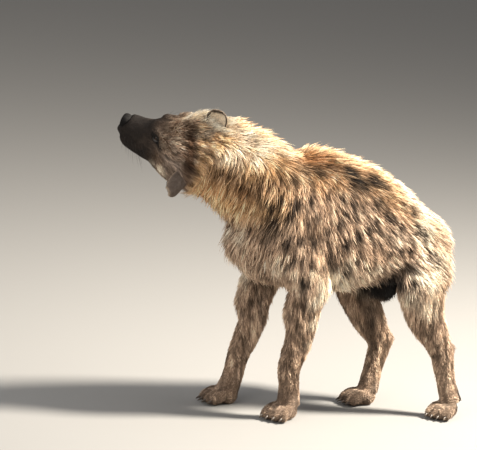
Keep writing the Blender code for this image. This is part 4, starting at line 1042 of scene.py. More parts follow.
def coat_sizes(points):
    """Length, width and lift of the tip of each tuft, and how close the tufts stand."""
    z = points[:, 2]
    head = ease(toward_head(points), -0.020, 0.010)
    leg = leg_share(points)
    crest = crest_share(points)
    nape = crest * (1 - ease(points[:, 0], -0.06, 0.04))
    back, left, up = head_places(points).T
    chest = (1 - ease(points[:, 0], -0.10, 0.02)) * (1 - crest)
    belly = (1 - ease(z, 0.43, 0.52)) * ease(points[:, 0], 0.08, 0.16) * (1 - ease(points[:, 0], 0.36, 0.44))
    rump = ease(points[:, 0], 0.46, 0.56)
    length = 0.034 + 0.014 * crest + 0.010 * belly + 0.008 * chest
    lift = 0.0125 + 0.011 * crest + 0.003 * nape + 0.004 * chest + 0.004 * rump + 0.003 * belly
    width = np.full(len(points), 0.0036)
    close = np.full(len(points), 1.0)
    low = leg * ease(z, 0.07, 0.14)
    leg_length = 0.0075 + 0.0265 * ease(z, 0.07, 0.38)
    length = length * (1 - leg) + leg_length * leg
    lift = lift * (1 - leg) + (0.0022 + 0.0098 * ease(z, 0.07, 0.38)) * leg
    width = width * (1 - leg) + (0.0018 + 0.0014 * low) * leg
    close = close * (1 - leg) + (2.4 - 0.9 * low) * leg
    crown = ease(up, 0.045, 0.070) * ease(back, 0.160, 0.190) * (1 - 0.65 * ease(left, -0.012, 0.012))
    crown = crown * (1 - 0.85 * ease(back, 0.218, 0.240))
    brow = ease(up, 0.040, 0.062) * ease(back, 0.115, 0.140) * (1 - crown)
    ruff = ease(back, 0.195, 0.225) * ease(left, 0.045, 0.070) * (1 - ease(up, 0.03, 0.06))
    cheek = ease(back, 0.135, 0.20)
    snout = ease(back, 0.07, 0.13)
    face_length = 0.0045 + 0.004 * snout + 0.015 * cheek + 0.008 * crown + 0.012 * ruff + 0.004 * brow
    face_lift = 0.0012 + 0.0012 * snout + 0.0056 * cheek + 0.0440 * crown + 0.006 * ruff + 0.010 * brow
    length = mix(length, face_length, head)
    lift = mix(lift, face_lift, head)
    width = mix(width, 0.0014 + 0.0012 * cheek + 0.0004 * crown, head)
    close = mix(close, 3.4 - 1.2 * cheek, head)
    bare = np.zeros(len(points))
    for side in (-1, 1):
        outward, corner, rise = eye_axes(side)
        away = points - eye_centre(side)
        behind = np.minimum(away @ outward, 0) / 0.02
        rim = np.sqrt((away @ corner / 0.0185) ** 2 + (away @ rise / 0.0115) ** 2 + behind**2)
        bare = np.maximum(bare, 1 - ease(rim, 0.95, 1.15))
    bare = np.maximum(bare, 1 - ease(back, 0.008, 0.014))
    bare = np.maximum(bare, points[:, 2] < 0.004)
    return length, width, lift, close * (1 - bare)


def triangle_areas(points, triangles):
    """Twice the area of each triangle: the length of the cross of two of its sides."""
    a, b, c = (points[triangles[:, i]] for i in range(3))
    return np.linalg.norm(np.cross(b - a, c - a), axis=1)


def corner_weights(count, chance):
    """Shares of a triangle's three corners for places drawn evenly over it: 1 - u, u (1 - v) and
    u v, u being the root of a draw from 0 to 1 and v another draw."""
    u, v = np.sqrt(chance.random(count)), chance.random(count)
    return np.stack([1 - u, u * (1 - v), u * v], -1)[:, :, None]


def roots_on(points, triangles, normals, count, chance):
    """Places drawn over the skin, closer together where the coat is finer, with their normals."""
    edges = np.cumsum(triangle_areas(points, triangles) * coat_sizes(points[triangles].mean(1))[3])
    draws = (np.arange(count) + chance.random(count)) / count * edges[-1]
    corners = triangles[np.minimum(np.searchsorted(edges, draws), len(triangles) - 1)]
    weights = corner_weights(count, chance)
    return (points[corners] * weights).sum(1), unit((normals[corners] * weights).sum(1))


def shares_of(bends):
    """Where along a tuft its rings stand, the tip being 1."""
    return np.array((0.0, 0.5) if bends == 1 else (0.0, 0.38, 0.72))


def tuft_mesh(roots, normals, ways, length, lift, width, curl, bends):
    """Tapered tufts of three-sided section. A ring stands at
    root + way * length * s + normal * lift * sin(s pi / 2) + side * curl * s squared, and its corners
    lie half the width to each side and a little above, all narrowing to a point at s = 1."""
    shares = shares_of(bends)
    sides = np.cross(normals, ways)

    def middle(s):
        rise = lift * math.sin(s * math.pi / 2) - 0.0012 * (1 - s)
        bent = sides * (curl * s * s)[:, None]
        return roots + ways * (length * s)[:, None] + normals * rise[:, None] + bent

    rings = []
    for s in shares:
        half = (width / 2 * (0.80 + 0.75 * s - 1.35 * s * s))[:, None]
        centre = middle(s)
        rings += [centre - sides * half, centre + normals * half * 0.9, centre + sides * half]
    points = np.stack([*rings, middle(1.0)], 1)
    points[:, :, 2] = np.maximum(points[:, :, 2], LOWEST)
    corner = len(shares) * 3
    faces = [(2, 1, 0)]
    for ring in range(len(shares) - 1):
        a = ring * 3
        for j in range(3):
            k = (j + 1) % 3
            faces += [(a + j, a + k, a + 3 + k), (a + j, a + 3 + k, a + 3 + j)]
    a = corner - 3
    faces += [(a + j, a + (j + 1) % 3, corner) for j in range(3)]
    triangles = (np.arange(len(roots)) * (corner + 1))[:, None, None] + np.array(faces)[None]
    along = np.concatenate([np.repeat(shares, 3), [1.0]])
    across = np.concatenate([np.tile((-1.0, 0.0, 1.0), len(shares)), [0.0]])
    return points.reshape(-1, 3), triangles.reshape(-1, 3), along, across


def unwrapped(points, region):
    """A place from 0 to 1 on the unrolled skin: along the part's own axis and round it."""
    if region == "head":
        back, left, up = head_places(points).T
        along, angle = back, np.arctan2(left, -up)
    elif region in LEGS or region == "tail":
        if region == "tail":
            centre_x, centre_y = np.full(len(points), TRUNK_REAR + 0.015), np.zeros(len(points))
        else:
            leg = LEGS[region]
            joints = (leg["foot"], low_joint(leg), top_joint(leg))
            heights = (0.03, low_joint(leg)[2], top_joint(leg)[2])
            centre_x = np.interp(points[:, 2], heights, [joint[0] for joint in joints])
            centre_y = np.interp(points[:, 2], heights, [joint[1] for joint in joints])
        along, angle = points[:, 2], np.arctan2(points[:, 1] - centre_y, points[:, 0] - centre_x)
    else:
        middle = np.interp(points[:, 0], (-0.30, -0.05, 0.10, 0.55), (0.83, 0.69, 0.60, 0.53))
        along, angle = points[:, 0], np.arctan2(points[:, 1], points[:, 2] - middle)
    spread = np.stack([along, angle], -1)
    low, high = spread.min(0), spread.max(0)
    return 0.002 + (spread - low) / np.maximum(high - low, 1e-6) * (0.996 - PATCH)


def regions_of(points):
    """A name for the part of the body that each place is on."""
    names = np.full(len(points), "trunk_left", dtype=object)
    names[points[:, 1] > 0] = "trunk_right"
    x, z = points[:, 0], points[:, 2]
    names[x < -0.02] = "neck"
    names[toward_head(points) > 0.0] = "head"
    low = (z < 0.40) & (toward_head(points) < -0.05)
    for name, leg in LEGS.items():
        front = x < (0.20 if leg["side"] < 0 else 0.17)
        mine = low & (np.sign(points[:, 1]) == leg["side"]) & (front == name.startswith("front"))
        names[mine] = name
    tail = (x > TRUNK_REAR - 0.002) & (np.abs(points[:, 1]) < 0.03) & (z > 0.35) & (z < 0.545)
    names[tail] = "tail"
    return names


def coat_pieces(markings, skin_points, skin_triangles, skin_normals, material):
    """The whole coat: tufts drawn over the skin, shaped and coloured, and put into pieces."""
    chance = np.random.default_rng(SEED)
    roots, normals = roots_on(skin_points, skin_triangles, skin_normals, TUFTS, chance)
    n = len(roots)
    length, width, lift, _ = coat_sizes(roots)
    ways = hair_lie(roots, normals)
    on_face = ease(toward_head(roots), -0.01, 0.01)
    streak = streaks(roots, 0.0085, 31)
    guard = (chance.random(n) < 0.13) * (1 - on_face) * (1 - leg_share(roots) * 0.7)
    length = length * (0.72 + 0.50 * chance.random(n)) * (0.85 + 0.30 * streak) * (1 + 0.40 * guard)
    stand = (0.50 + 0.70 * chance.random(n)) * (0.55 + 0.90 * streak) * (1 + 0.70 * guard)
    lift = lift * np.minimum(stand, 1.65 - 0.25 * crest_share(roots) - 0.35 * on_face)
    width = width * (0.75 + 0.50 * chance.random(n)) * (1 - 0.25 * guard)
    curl = length * chance.uniform(-0.16, 0.16, n)
    names = regions_of(roots)
    tail = names == "tail"
    length[tail] = 0.055 + 0.035 * chance.random(tail.sum())
    lift[tail] = 0.006 + 0.008 * chance.random(tail.sum())
    ways[tail] = unit(ways[tail] + (0, 0, -3.0))
    loose_place = roots + chance.uniform(-0.004, 0.004, (n, 3))
    places = []
    for share in (0.40, 0.90):
        rise = lift * math.sin(share * math.pi / 2)
        places.append(loose_place + ways * (length * share)[:, None] + normals * rise[:, None])
    tone, tip_tone = np.split(markings.tone(np.vstack(places)), 2)
    # The strand: partly the hairs' own variation, partly painted shade in the gaps between clumps and a
    # painted highlight on the highest.
    loose = np.clip(chance.standard_normal(n), -2, 2)
    strand = 0.75 * (streak - 0.5) / 0.19 + 0.65 * loose + 0.30 * (streaks(roots, 0.024, 35) - 0.5) / 0.19
    muzzle = on_face * (1 - ease(head_places(roots)[:, 0], 0.11, 0.16))
    shade = np.exp(strand * (0.52 - 0.26 * muzzle))

    def varied(colours):
        """A tuft's tone: its place's, darker or paler by the strand, partly from hair to hair and partly
        painted shade in the gaps between clumps; the palest turned to cream, partly pale hair and partly a
        painted highlight.
        """
        bright = np.clip(colours.sum(1) / 1.2, 0, 1)
        pale = ease(strand, 0.4, 1.9) * bright * (0.65 - 0.30 * on_face)
        made = mix(colours * shade[:, None], CREAM * (0.60 + 0.40 * bright)[:, None], pale)
        return np.minimum(made, (0.92, 0.84, 0.70))

    # Painted shade at the roots: each tuft darkens towards its root, less where its tone is pale.
    painted_root_shade = 0.34 + 0.34 * ease(np.clip(tone.sum(1) / 1.2, 0, 1), 0.6, 1.2)
    tone, tip_tone = varied(tone), varied(tip_tone)
    for name in sorted(set(names)):
        chosen = np.flatnonzero(names == name)
        bends = 2 if name == "tail" else 1
        triangles_each = TUFT_TRIANGLES if bends == 1 else TAIL_TUFT_TRIANGLES
        most = TUFTS_IN_A_PIECE * TUFT_TRIANGLES // triangles_each
        places = unwrapped(roots[chosen], name)
        count = -(-len(chosen) // most)
        order = np.argsort(places[:, 0], kind="stable")
        for part, share in enumerate(np.array_split(order, count)):
            ids = chosen[share]
            points, triangles, along, across = tuft_mesh(
                roots[ids], normals[ids], ways[ids], length[ids], lift[ids], width[ids], curl[ids], bends
            )
            label = f"coat_{name}" + (f"_{part + 1}" if count > 1 else "")
            obj = piece(label, points, [triangles], material, smooth=False)
            dark = painted_root_shade[ids][:, None]
            tint = mix(tone[ids][:, None], tip_tone[ids][:, None], along[None, :, None] ** 1.5)
            # From the painted shade at the root up to the hair's own paler tip.
            tint = tint * (dark + (1.14 - dark) * along**0.7)[:, :, None]
            set_tone(obj, tint.reshape(-1, 3))
            spots = unwrapped(roots[ids], name)
            patch = np.stack([along * PATCH, (across * 0.5 + 0.5) * PATCH], -1)
            set_patch_map(obj, (spots[:, None] + patch[None]).reshape(-1, 2), triangles)


def set_tone(obj, colours):
    """The tone of each point, as the attribute that the materials read."""
    made = obj.data.color_attributes.new("tone", "FLOAT_COLOR", "POINT")
    values = np.ones((len(colours), 4), np.float32)
    values[:, :3] = np.clip(colours, 0, 1)
    made.data.foreach_set("color", values.reshape(-1))


def set_patch_map(obj, places, triangles):
    """The unwrap that each tuft's colour is kept on: a small patch at its root's place."""
    made = obj.data.uv_layers.new(name="OFBake")
    made.data.foreach_set("uv", places[triangles.reshape(-1)].astype(np.float32).reshape(-1))


# Materials


def add(tree, kind, **inputs):
    """A node of that kind, with its inputs set by name or linked from another node's socket."""
    node = tree.nodes.new(kind)
    for key, value in inputs.items():
        socket = node.inputs[key.replace("_", " ")]
        if isinstance(value, bpy.types.NodeSocket):
            tree.links.new(value, socket)
        else:
            socket.default_value = value
    return node


def new_material(name, roughness, **sockets):
    made = bpy.data.materials.new(name)
    made.use_nodes = True
    shader = made.node_tree.nodes["Principled BSDF"]
    shader.inputs["Roughness"].default_value = roughness
    for key, value in sockets.items():
        shader.inputs[key.replace("_", " ")].default_value = value
    return made, made.node_tree, shader


def multiplied(tree, colour, factor, amount):
    """A colour times a grey from the factor, in place of a mix node with fixed ends."""
    node = tree.nodes.new("ShaderNodeMix")
    node.data_type = "RGBA"
    node.blend_type = "MULTIPLY"
    node.inputs["Factor"].default_value = amount
    tree.links.new(colour, node.inputs["A"])
    tree.links.new(factor, node.inputs["B"])
    return node.outputs["Result"]


def colour_ramp(tree, factor, stops):
    """A ramp from a factor through positions and colours, the ends first and any others between."""
    ramp = tree.nodes.new("ShaderNodeValToRGB")
    elements = ramp.color_ramp.elements
    for element, (position, colour) in zip(list(elements), (stops[0], stops[-1])):
        element.position = position
        element.color = (*colour, 1)
    for position, colour in stops[1:-1]:
        elements.new(position).color = (*colour, 1)
    tree.links.new(factor, ramp.inputs["Fac"])
    return ramp.outputs["Color"]


def coat_material(name, roughness=0.62, bump=0.0):
    """Hair: the tone attribute, varied by fine noise, with a soft sheen."""
    made, tree, shader = new_material(name, roughness, Specular_IOR_Level=0.22)
    tone = tree.nodes.new("ShaderNodeAttribute")
    tone.attribute_name = "tone"
    place = tree.nodes.new("ShaderNodeTexCoord")
    where = place.outputs["Object"]
    noise = add(tree, "ShaderNodeTexNoise", Vector=where, Scale=260.0, Detail=3.0, Roughness=0.6)
    grey = colour_ramp(tree, noise.outputs["Fac"], [(0.28, (0.66, 0.62, 0.60)), (0.68, (1.0, 1.0, 1.0))])
    tree.links.new(multiplied(tree, tone.outputs["Color"], grey, 0.7), shader.inputs["Base Color"])
    if bump:
        grain = add(tree, "ShaderNodeTexNoise", Vector=where, Scale=620.0, Detail=4.0)
        relief = add(tree, "ShaderNodeBump", Height=grain.outputs["Fac"], Strength=bump, Distance=0.001)
        tree.links.new(relief.outputs["Normal"], shader.inputs["Normal"])
    return made


def hide_material(name, tint, roughness, scale, bump, **sockets):
    """Bare skin or horn: one tint varied by noise, over fine cells pressed in."""
    made, tree, shader = new_material(name, roughness, **sockets)
    place = tree.nodes.new("ShaderNodeTexCoord")
    where = place.outputs["Object"]
    noise = add(tree, "ShaderNodeTexNoise", Vector=where, Scale=scale * 0.3, Detail=4.0)
    darker, paler = [c * 0.6 for c in tint], [min(1, c * 1.7) for c in tint]
    colour = colour_ramp(tree, noise.outputs["Fac"], [(0.3, darker), (0.75, paler)])
    tree.links.new(colour, shader.inputs["Base Color"])
    cells = add(tree, "ShaderNodeTexVoronoi", Vector=where, Scale=scale)
    relief = add(tree, "ShaderNodeBump", Height=cells.outputs["Distance"], Strength=bump, Distance=0.0006)
    tree.links.new(relief.outputs["Normal"], shader.inputs["Normal"])
    return made


def eye_material():
    """A dark brown iris round a black pupil, from the angle away from the gaze, under a wet coat."""
    made, tree, shader = new_material(
        "eye", 0.30, Coat_Weight=0.25, Coat_Roughness=0.02, Specular_IOR_Level=0.15
    )
    angle = tree.nodes.new("ShaderNodeAttribute")
    angle.attribute_name = "gaze_angle"
    stops = [
        (0.17, (0.002, 0.002, 0.002)), (0.20, (0.030, 0.015, 0.007)), (0.42, (0.016, 0.008, 0.004)),
        (0.50, (0.004, 0.003, 0.002)), (0.62, (0.010, 0.006, 0.004)),
    ]
    tree.links.new(colour_ramp(tree, angle.outputs["Fac"], stops), shader.inputs["Base Color"])
    return made


# Small parts of the head


def eye_ball(name, side, material):
    """A ball with its pole along the gaze, its front raised by a clear dome."""
    outward = eye_axes(side)[0]
    gaze = unit(outward + FORWARD * 0.25)
    across = unit(np.cross(gaze, UP))
    upward = np.cross(across, gaze)
    angle = np.linspace(0, math.pi, 42)[1:-1, None]
    around = np.linspace(0, 2 * math.pi, 48, endpoint=False)[None]
    radius = EYE_RADIUS + 0.0011 * np.clip(1 - (angle / 0.72) ** 2, 0, 1) ** 1.2 + 0 * around
    way = np.cos(angle)[..., None] * gaze + (np.sin(angle) * np.cos(around))[..., None] * across
    way = way + (np.sin(angle) * np.sin(around))[..., None] * upward
    points, faces = tube(eye_centre(side) + way * radius[..., None])
    obj = piece(name, points, faces, material, [name.replace("ball_", "")])
    turned = np.arccos(np.clip(unit(points - eye_centre(side)) @ gaze, -1, 1)) / (math.pi / 2)
    made = obj.data.attributes.new("gaze_angle", "FLOAT", "POINT")
    made.data.foreach_set("value", turned.astype(np.float32))


def eyelids(name, side, material):
    """Both lids as one ring round the opening. The opening's edge is an almond, and from it each row
    turns further from the gaze, rising over the eye's rim and sinking into the skin."""
    outward, corner, rise = eye_axes(side)
    columns, front_rows = 72, 5
    around = np.linspace(0, 2 * math.pi, columns, endpoint=False)
    long_way = 0.0128 * np.cos(around)
    sine = np.sin(around)
    high = np.where(sine > 0, 0.0062, 0.0050) * np.sign(sine) * np.abs(sine) ** 1.25
    reach = np.hypot(long_way, high)
    edge = np.arcsin(np.clip(reach / (EYE_RADIUS + 0.001), 0, 0.97))
    bearing = np.arctan2(high, long_way)
    rows = []
    for share, raise_by in (
        (-0.10, 0.0000), (-0.04, 0.0008), (0.0, 0.0017), (0.05, 0.0024), (0.12, 0.0028),
        (0.25, 0.0026), (0.42, 0.0026), (0.60, 0.0022), (0.80, 0.0010), (1.0, -0.0012),
    ):
        swing = edge + (1.42 - edge) * share
        crease = 0.0007 * math.exp(-(((share - 0.33) / 0.06) ** 2))
        radius = EYE_RADIUS + raise_by - crease
        way = outward * np.cos(swing)[:, None] + np.sin(swing)[:, None] * (
            corner * np.cos(bearing)[:, None] + rise * np.sin(bearing)[:, None]
        )
        rows.append(eye_centre(side) + way * radius)
    rings = np.array(rows)
    faces = grid_faces(*rings.shape[:2])
    normals = quad_normals(rings.reshape(-1, 3), faces)
    if (normals[:columns * front_rows].sum(0) @ outward) < 0:
        faces = faces[:, ::-1]
    piece(name, rings.reshape(-1, 3), [faces], material)


def nose_pad(material):
    """The bare nose: a finer loft of the pad, with two comma-shaped nostrils and a middle groove."""
    rows = np.array([
        (0.030, 0, -0.008, 0.010, 0.015, 0.010),
        (0.016, 0, -0.009, 0.0215, 0.0225, 0.0195),
        (0.006, 0, -0.010, 0.0225, 0.0228, 0.0203),
        (0.000, 0, -0.011, 0.0175, 0.0180, 0.0150),
        (-0.0018, 0, -0.011, 0.0080, 0.0080, 0.0070),
    ])
    points, faces = head_limb(rows, squareness=0.84, around=96, steps=18)
    normals = quad_normals(points, faces[0])
    middle = on_head((0.012, 0, -0.010))
    normals *= np.sign((normals * (points - middle)).sum(1))[:, None]
    for side in (-1, 1):
        hole = [(-0.003, 0.0085, -0.0125), (-0.001, 0.0135, -0.0120), (0.006, 0.0200, -0.0130)]
        hole = smooth_rows([(back, side * left, up) for back, left, up in hole], 8)
        near = distance_to(points, on_head(hole))
        points = points - normals * (0.0060 * bell(near, 0.0034))[:, None]
        points = points + normals * (0.0008 * bell(near - 0.0075, 0.0025))[:, None]
    groove = on_head(smooth_rows([(-0.004, 0, -0.004), (-0.002, 0, -0.018), (0.004, 0, -0.030)], 10))
    near = distance_to(points, groove)
    points = points - normals * (0.0012 * bell(near, 0.0014))[:, None]
    piece("nose_pad", points, faces, material, ["nose"])


def ear_sheet(side, rows=34, columns=31):
    """Both faces of a cupped ear. v runs from base to tip and u across. The cross-section is an arc
    of angle bend(v) and radius half(v) / sin bend, tightest at the base, with a round tip."""
    base, along, opening = ear_axes(side)
    across = np.cross(along, opening) * side
    v = np.linspace(0, 1, rows)[:, None]
    u = np.linspace(-1, 1, columns)[None]
    taper = np.sqrt(np.maximum(1 - np.maximum(0, (v - 0.58) / 0.46) ** 2.4, 0.02))
    size = LEFT_EAR_SCALE if side > 0 else 1.0
    half = size * EAR_WIDTH / 2 * (0.74 + 0.55 * v - 0.28 * v * v) * taper
    bend = np.radians(104 - 66 * v)
    radius = half / np.sin(np.minimum(bend, math.pi / 2))
    swing = bend * u
    radial = across * np.sin(swing)[..., None] - opening * np.cos(swing)[..., None]
    middle = base + along * (size * EAR_LENGTH * (v * 1.12 - 0.20))[..., None]
    middle = middle + opening * (radius * 0.55 + 0.010 * v * v)[..., None]
    rim = np.clip(1 - np.abs(u) ** 6, 0, 1) * np.clip(1 - v**14, 0, 1)
    thick = EAR_THICKNESS * (1.25 - 0.55 * v) * (0.25 + 0.75 * rim)
    ridge = 0.0016 * bell(u - 0.35, 0.10) * np.clip(1 - v, 0, 1)
    outside = middle + radial * (radius - 0.0006 + 0 * u)[..., None]
    inside = middle + radial * (radius - thick - ridge)[..., None]
    return outside, inside, along


def ear(name, side, material, tufts_material):
    """An ear with a grey back and a pale inside that is dark at its edges and tip, under short fur."""
    outside, inside, along = ear_sheet(side)
    rows, columns = outside.shape[:2]
    points = np.vstack([outside.reshape(-1, 3), inside.reshape(-1, 3)])
    size = rows * columns
    grid = grid_faces(rows, columns, wrapped=False)
    ring = np.concatenate([
        np.arange(columns), np.arange(1, rows) * columns + columns - 1,
        (rows - 1) * columns + np.arange(columns - 2, -1, -1), np.arange(rows - 2, 0, -1) * columns,
    ])
    after = np.roll(ring, -1)
    rim = np.stack([ring, ring + size, after + size, after], -1)
    normals = quad_normals(points[:size], grid)
    outward = (outside - inside).reshape(-1, 3)
    if (normals * outward).sum() < 0:
        grid, rim = grid[:, ::-1], rim[:, ::-1]
    faces = [grid, grid[:, ::-1] + size, rim]
    obj = piece(name, points, faces, material, [name.replace("cup_", "")])
    v = np.repeat(np.linspace(0, 1, rows), columns)
    u = np.tile(np.linspace(-1, 1, columns), rows)
    front = ease(np.abs(u), 0.72, 0.88)
    edge = np.maximum(ease(np.abs(u), 0.90, 0.99), ease(v, 0.93, 0.99))
    back_tone = mix(np.tile(GREY * 1.15, (size, 1)), DARK, 0.4 * mottle(points[:size], 0.012, 51))
    back_tone = mix(back_tone, PALE, 0.8 * edge)
    inner = mix(np.tile(CREAM, (size, 1)), GREY, 0.45 * (1 - ease(v, 0.25, 0.6)))
    inner = mix(inner, DARK, 0.95 * np.maximum(front, ease(v, 0.82, 0.92)))
    tones = np.vstack([back_tone, inner])
    set_tone(obj, tones)
    chance = np.random.default_rng(SEED + 3 + side)
    tufts = []
    for part, (sheet, count) in enumerate(zip((outside, inside), EAR_TUFTS)):
        flat = sheet.reshape(-1, 3)
        order = grid if part == 0 else grid[:, ::-1]
        triangles = np.vstack([order[:, :3], order[:, (0, 2, 3)]])
        its_normals = quad_normals(flat, order)
        edges = np.cumsum(triangle_areas(flat, triangles))
        corners = triangles[np.searchsorted(edges, chance.random(count) * edges[-1])]
        weights = corner_weights(count, chance)
        roots = (flat[corners] * weights).sum(1)
        normals = unit((its_normals[corners] * weights).sum(1))
        tone = (tones[part * size:][corners] * weights).sum(1)
        grown_v = (v[corners] * weights[:, :, 0]).sum(1)
        grown_u = (u[corners] * weights[:, :, 0]).sum(1)
        ways = laid_on(np.tile(along, (count, 1)) + swirl(roots, 0.02, 61) * 0.3, normals)
        length = (0.0055 + 0.004 * chance.random(count)) * (1.0 if part == 0 else 1.25)
        length = length * (1 - 0.55 * ease(grown_v, 0.8, 1.0))
        tufts.append((roots, normals, ways, length, tone, np.stack([grown_v, grown_u], -1)))
    roots, normals, ways, length, tone, spread = (np.concatenate(column) for column in zip(*tufts))
    n = len(roots)
    lift = 0.0010 + 0.0012 * chance.random(n)
    width = 0.0015 + 0.0006 * chance.random(n)
    curl = length * chance.uniform(-0.15, 0.15, n)
    points, triangles, run, side_way = tuft_mesh(roots, normals, ways, length, lift, width, curl, 1)
    fur = piece(name.replace("cup", "coat"), points, [triangles], tufts_material, smooth=False)
    shade = (0.7 + 0.5 * chance.random(n))[:, None, None]
    # Painted shade at the roots: each ear tuft darkens towards its root.
    set_tone(fur, (tone[:, None] * shade * (0.7 + 0.45 * run)[None, :, None]).reshape(-1, 3))
    half = np.repeat((0.0, 0.5), EAR_TUFTS)
    spots = np.stack([spread[:, 0] * 0.99, half + (spread[:, 1] + 1) / 2 * 0.49], -1)
    patch = np.stack([run * PATCH, (side_way * 0.5 + 0.5) * PATCH], -1)
    set_patch_map(fur, (spots[:, None] + patch[None]).reshape(-1, 2), triangles)


def claws(material):
    """Blunt curved claws, each in place of its solid. A ring of a claw is a share of its length, how
    far it has dropped and a share of its radius."""
    curve = (
        (0.0, 0.0, 0.9), (0.35, 0.0005, 1.0), (0.70, 0.003, 0.75), (0.93, 0.0065, 0.40), (1.0, 0.0078, 0.16)
    )
    for name, leg in LEGS.items():
        width, length = (PAW_WIDTH, PAW_LENGTH) if name in FRONT_LEGS else (HIND_PAW_WIDTH, HIND_PAW_LENGTH)
        place, turn = foot_frame(leg["foot"], leg["splay"])
        forward = turn @ np.array((-1, 0, 0))
        for toe in range(4):
            end = np.array(toe_path(place, toe, width, length)[-1][:3]) + (0, 0, 0.002)
            rows = []
            for share, drop, size in curve:
                centre = end + forward * (CLAW_LENGTH * (share - 0.45)) - (0, 0, drop)
                radius = CLAW_RADIUS * size
                rows.append((*centre, radius * 0.8, radius, radius))
            points, faces = tube(loft(rows, steps=5, around=18))
            piece(f"horn_{name}_{toe + 1}", points, faces, material, [f"claw_{name}_{toe + 1}"])


def whiskers(surface, material):
    """Long stiff hairs from the sides of the muzzle and over the eyes."""
    chance = np.random.default_rng(SEED + 9)
    roots, ways, lengths = [], [], []
    for side in (-1, 1):
        for row in range(4):
            for column in range(6):
                place = (0.028 + 0.011 * column, side * 0.044, -0.018 - 0.009 * row)
                roots.append(on_head(place))
                ways.append(LEFT * side * 0.9 - FORWARD * (0.25 + 0.10 * column) - UP * (0.10 + 0.12 * row))
                lengths.append(0.028 + 0.006 * column)
        for column in range(3):
            roots.append(on_head((0.112 + 0.008 * column, side * 0.036, 0.062)))
            ways.append(UP * 0.8 + LEFT * side * 0.4 - FORWARD * (0.4 + 0.1 * column))
            lengths.append(0.030)
    hits = [surface.find_nearest(Vector(root)) for root in roots]
    roots = np.array([tuple(hit[0]) for hit in hits])
    normals = np.array([tuple(hit[1]) for hit in hits])
    ways = unit(np.array(ways) + chance.uniform(-0.12, 0.12, (len(roots), 3)))
    sides = unit(np.cross(normals, ways))
    lengths = np.array(lengths) * chance.uniform(0.8, 1.2, len(roots))
    shares = np.linspace(0, 1, 7)
    bend = chance.uniform(0.08, 0.20, len(roots)) * lengths
    rings = []
    lifted = np.cross(sides, ways)
    turned = np.sign((lifted * normals).sum(1))[:, None]
    for s in shares:
        centre = roots + ways * (lengths * s)[:, None] - lifted * (bend * s * s)[:, None] * turned
        radius = 0.00042 * (1 - s) + 0.00006
        for turn in range(3):
            angle = 2 * math.pi * turn / 3
            rings.append(centre + sides * (radius * math.cos(angle)) + lifted * (radius * math.sin(angle)))
    points = np.stack(rings, 1)
    pattern = grid_faces(len(shares), 3)
    starts = (np.arange(len(roots)) * len(shares) * 3)[:, None, None]
    last = (len(shares) - 1) * 3
    ends = np.array([(2, 1, 0), (last, last + 1, last + 2)])
    faces = [(starts + pattern[None]).reshape(-1, 4), (starts + ends[None]).reshape(-1, 3)]
    piece("whiskers", points.reshape(-1, 3), faces, material)


# Stage


def set_camera():
    data = bpy.data.cameras.new("camera")
    data.sensor_width = 36.0
    data.lens = FOCAL_PIXELS / PHOTO_WIDTH * data.sensor_width
    data.clip_start, data.clip_end = 0.5, 200.0
    obj = bpy.data.objects.new("camera", data)
    bpy.context.scene.collection.objects.link(obj)
    right, up, back = camera_axes()
    turn = np.eye(4)
    turn[:3, 0], turn[:3, 1], turn[:3, 2] = right, up, back
    turn[:3, 3] = camera_place() - SHIFT
    obj.matrix_world = Matrix(turn.tolist())
    bpy.context.scene.camera = obj


def lamp(name, place, aim, size, power, tint=(1, 1, 1)):
    data = bpy.data.lights.new(name, "AREA")
    data.shape = "DISK"
    data.size = size
    data.energy = power
    data.color = tint
    obj = bpy.data.objects.new(name, data)
    bpy.context.scene.collection.objects.link(obj)
    obj.location = place
    obj.rotation_euler = (Vector(aim) - Vector(place)).to_track_quat("-Z", "Y").to_euler()


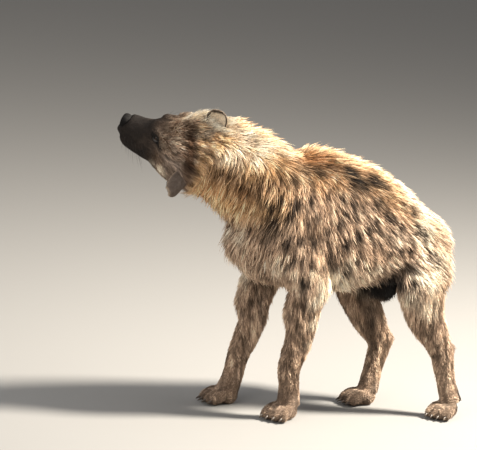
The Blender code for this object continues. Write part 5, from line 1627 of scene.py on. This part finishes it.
def set_stage():
    """A grey floor, a warm key lamp from high on the camera's right, a broad fill from its left, a weak
    lamp from above, and an even grey surround."""
    radius, around = 60.0, 96
    angle = np.linspace(0, 2 * math.pi, around, endpoint=False)
    rings = np.stack([np.cos(angle), np.sin(angle), 0 * angle], -1)
    points = np.vstack([rings * radius, [(0, 0, 0)]])
    j = np.arange(around)
    mesh = filled_mesh("floor", points, [np.stack([j, (j + 1) % around, np.full(around, around)], -1)])
    floor = bpy.data.objects.new("floor", mesh)
    bpy.context.scene.collection.objects.link(floor)
    made, _, shader = new_material("floor", 0.9)
    shader.inputs["Base Color"].default_value = (0.25, 0.246, 0.24, 1)
    floor.data.materials.append(made)
    right, _, back = camera_axes()
    aim = np.array((0.0, 0.0, 0.5))
    key = aim + right * 3.4 + np.array((0, 0, 1)) * 3.1 - back * 0.2
    lamp("key", key, aim, 0.9, 1120, (1.0, 0.92, 0.80))
    fill = aim + back * 4.5 - right * 1.8 + np.array((0, 0, 1)) * 1.6
    lamp("fill", fill, aim, 3.0, 130, (1.0, 0.96, 0.90))
    lamp("top", (0.0, 0.0, 4.2), aim, 3.0, 60)
    world = bpy.data.worlds.new("studio")
    world.use_nodes = True
    background = world.node_tree.nodes["Background"]
    background.inputs["Color"].default_value = (0.83, 0.81, 0.79, 1)
    background.inputs["Strength"].default_value = 0.38
    bpy.context.scene.world = world
    bpy.context.scene.view_settings.view_transform = "Standard"


def as_triangles(faces):
    """Every face as triangles."""
    made = []
    for f in faces:
        made.append(f if f.shape[1] == 3 else np.vstack([f[:, :3], f[:, (0, 2, 3)]]))
    return np.vstack(made)


def build():
    skin_points, skin_faces, skin_normals = build_skin()
    triangles = as_triangles(skin_faces)
    surface = BVHTree.FromPolygons(skin_points.tolist(), triangles.tolist())
    over = coat_surface(skin_points, skin_normals)
    markings = Markings(BVHTree.FromPolygons(over.tolist(), triangles.tolist()))
    fur = coat_material("fur")
    hide = coat_material("hide", roughness=0.75, bump=0.4)
    flesh = ["head", "neck", "torso", "tail"]
    flesh += [f"{name}_{part}" for name in LEGS for part in ("upper", "lower", "paw")]
    skin = piece("skin", skin_points, skin_faces, hide, flesh)
    set_tone(skin, markings.tone(over) * SKIN_SHADE)
    coat_pieces(markings, skin_points, triangles, skin_normals, fur)
    lid_skin = hide_material("lid_skin", (0.016, 0.012, 0.010), 0.42, 900.0, 0.3, Specular_IOR_Level=0.5)
    nose_tint = (0.0070, 0.0062, 0.0060)
    nose_skin = hide_material("nose_skin", nose_tint, 0.75, 620.0, 0.5, Specular_IOR_Level=0.10)
    horn = hide_material("horn", (0.060, 0.045, 0.034), 0.38, 300.0, 0.15, Specular_IOR_Level=0.5)
    bristle = hide_material("bristle", (0.020, 0.015, 0.012), 0.45, 800.0, 0.0)
    wet = eye_material()
    for name, side in (("left", 1), ("right", -1)):
        eye_ball(f"ball_eye_{name}", side, wet)
        eyelids(f"lids_{name}", side, lid_skin)
        ear(f"cup_ear_{name}", side, hide, fur)
    nose_pad(nose_skin)
    claws(horn)
    whiskers(surface, bristle)


build()
set_camera()
set_stage()
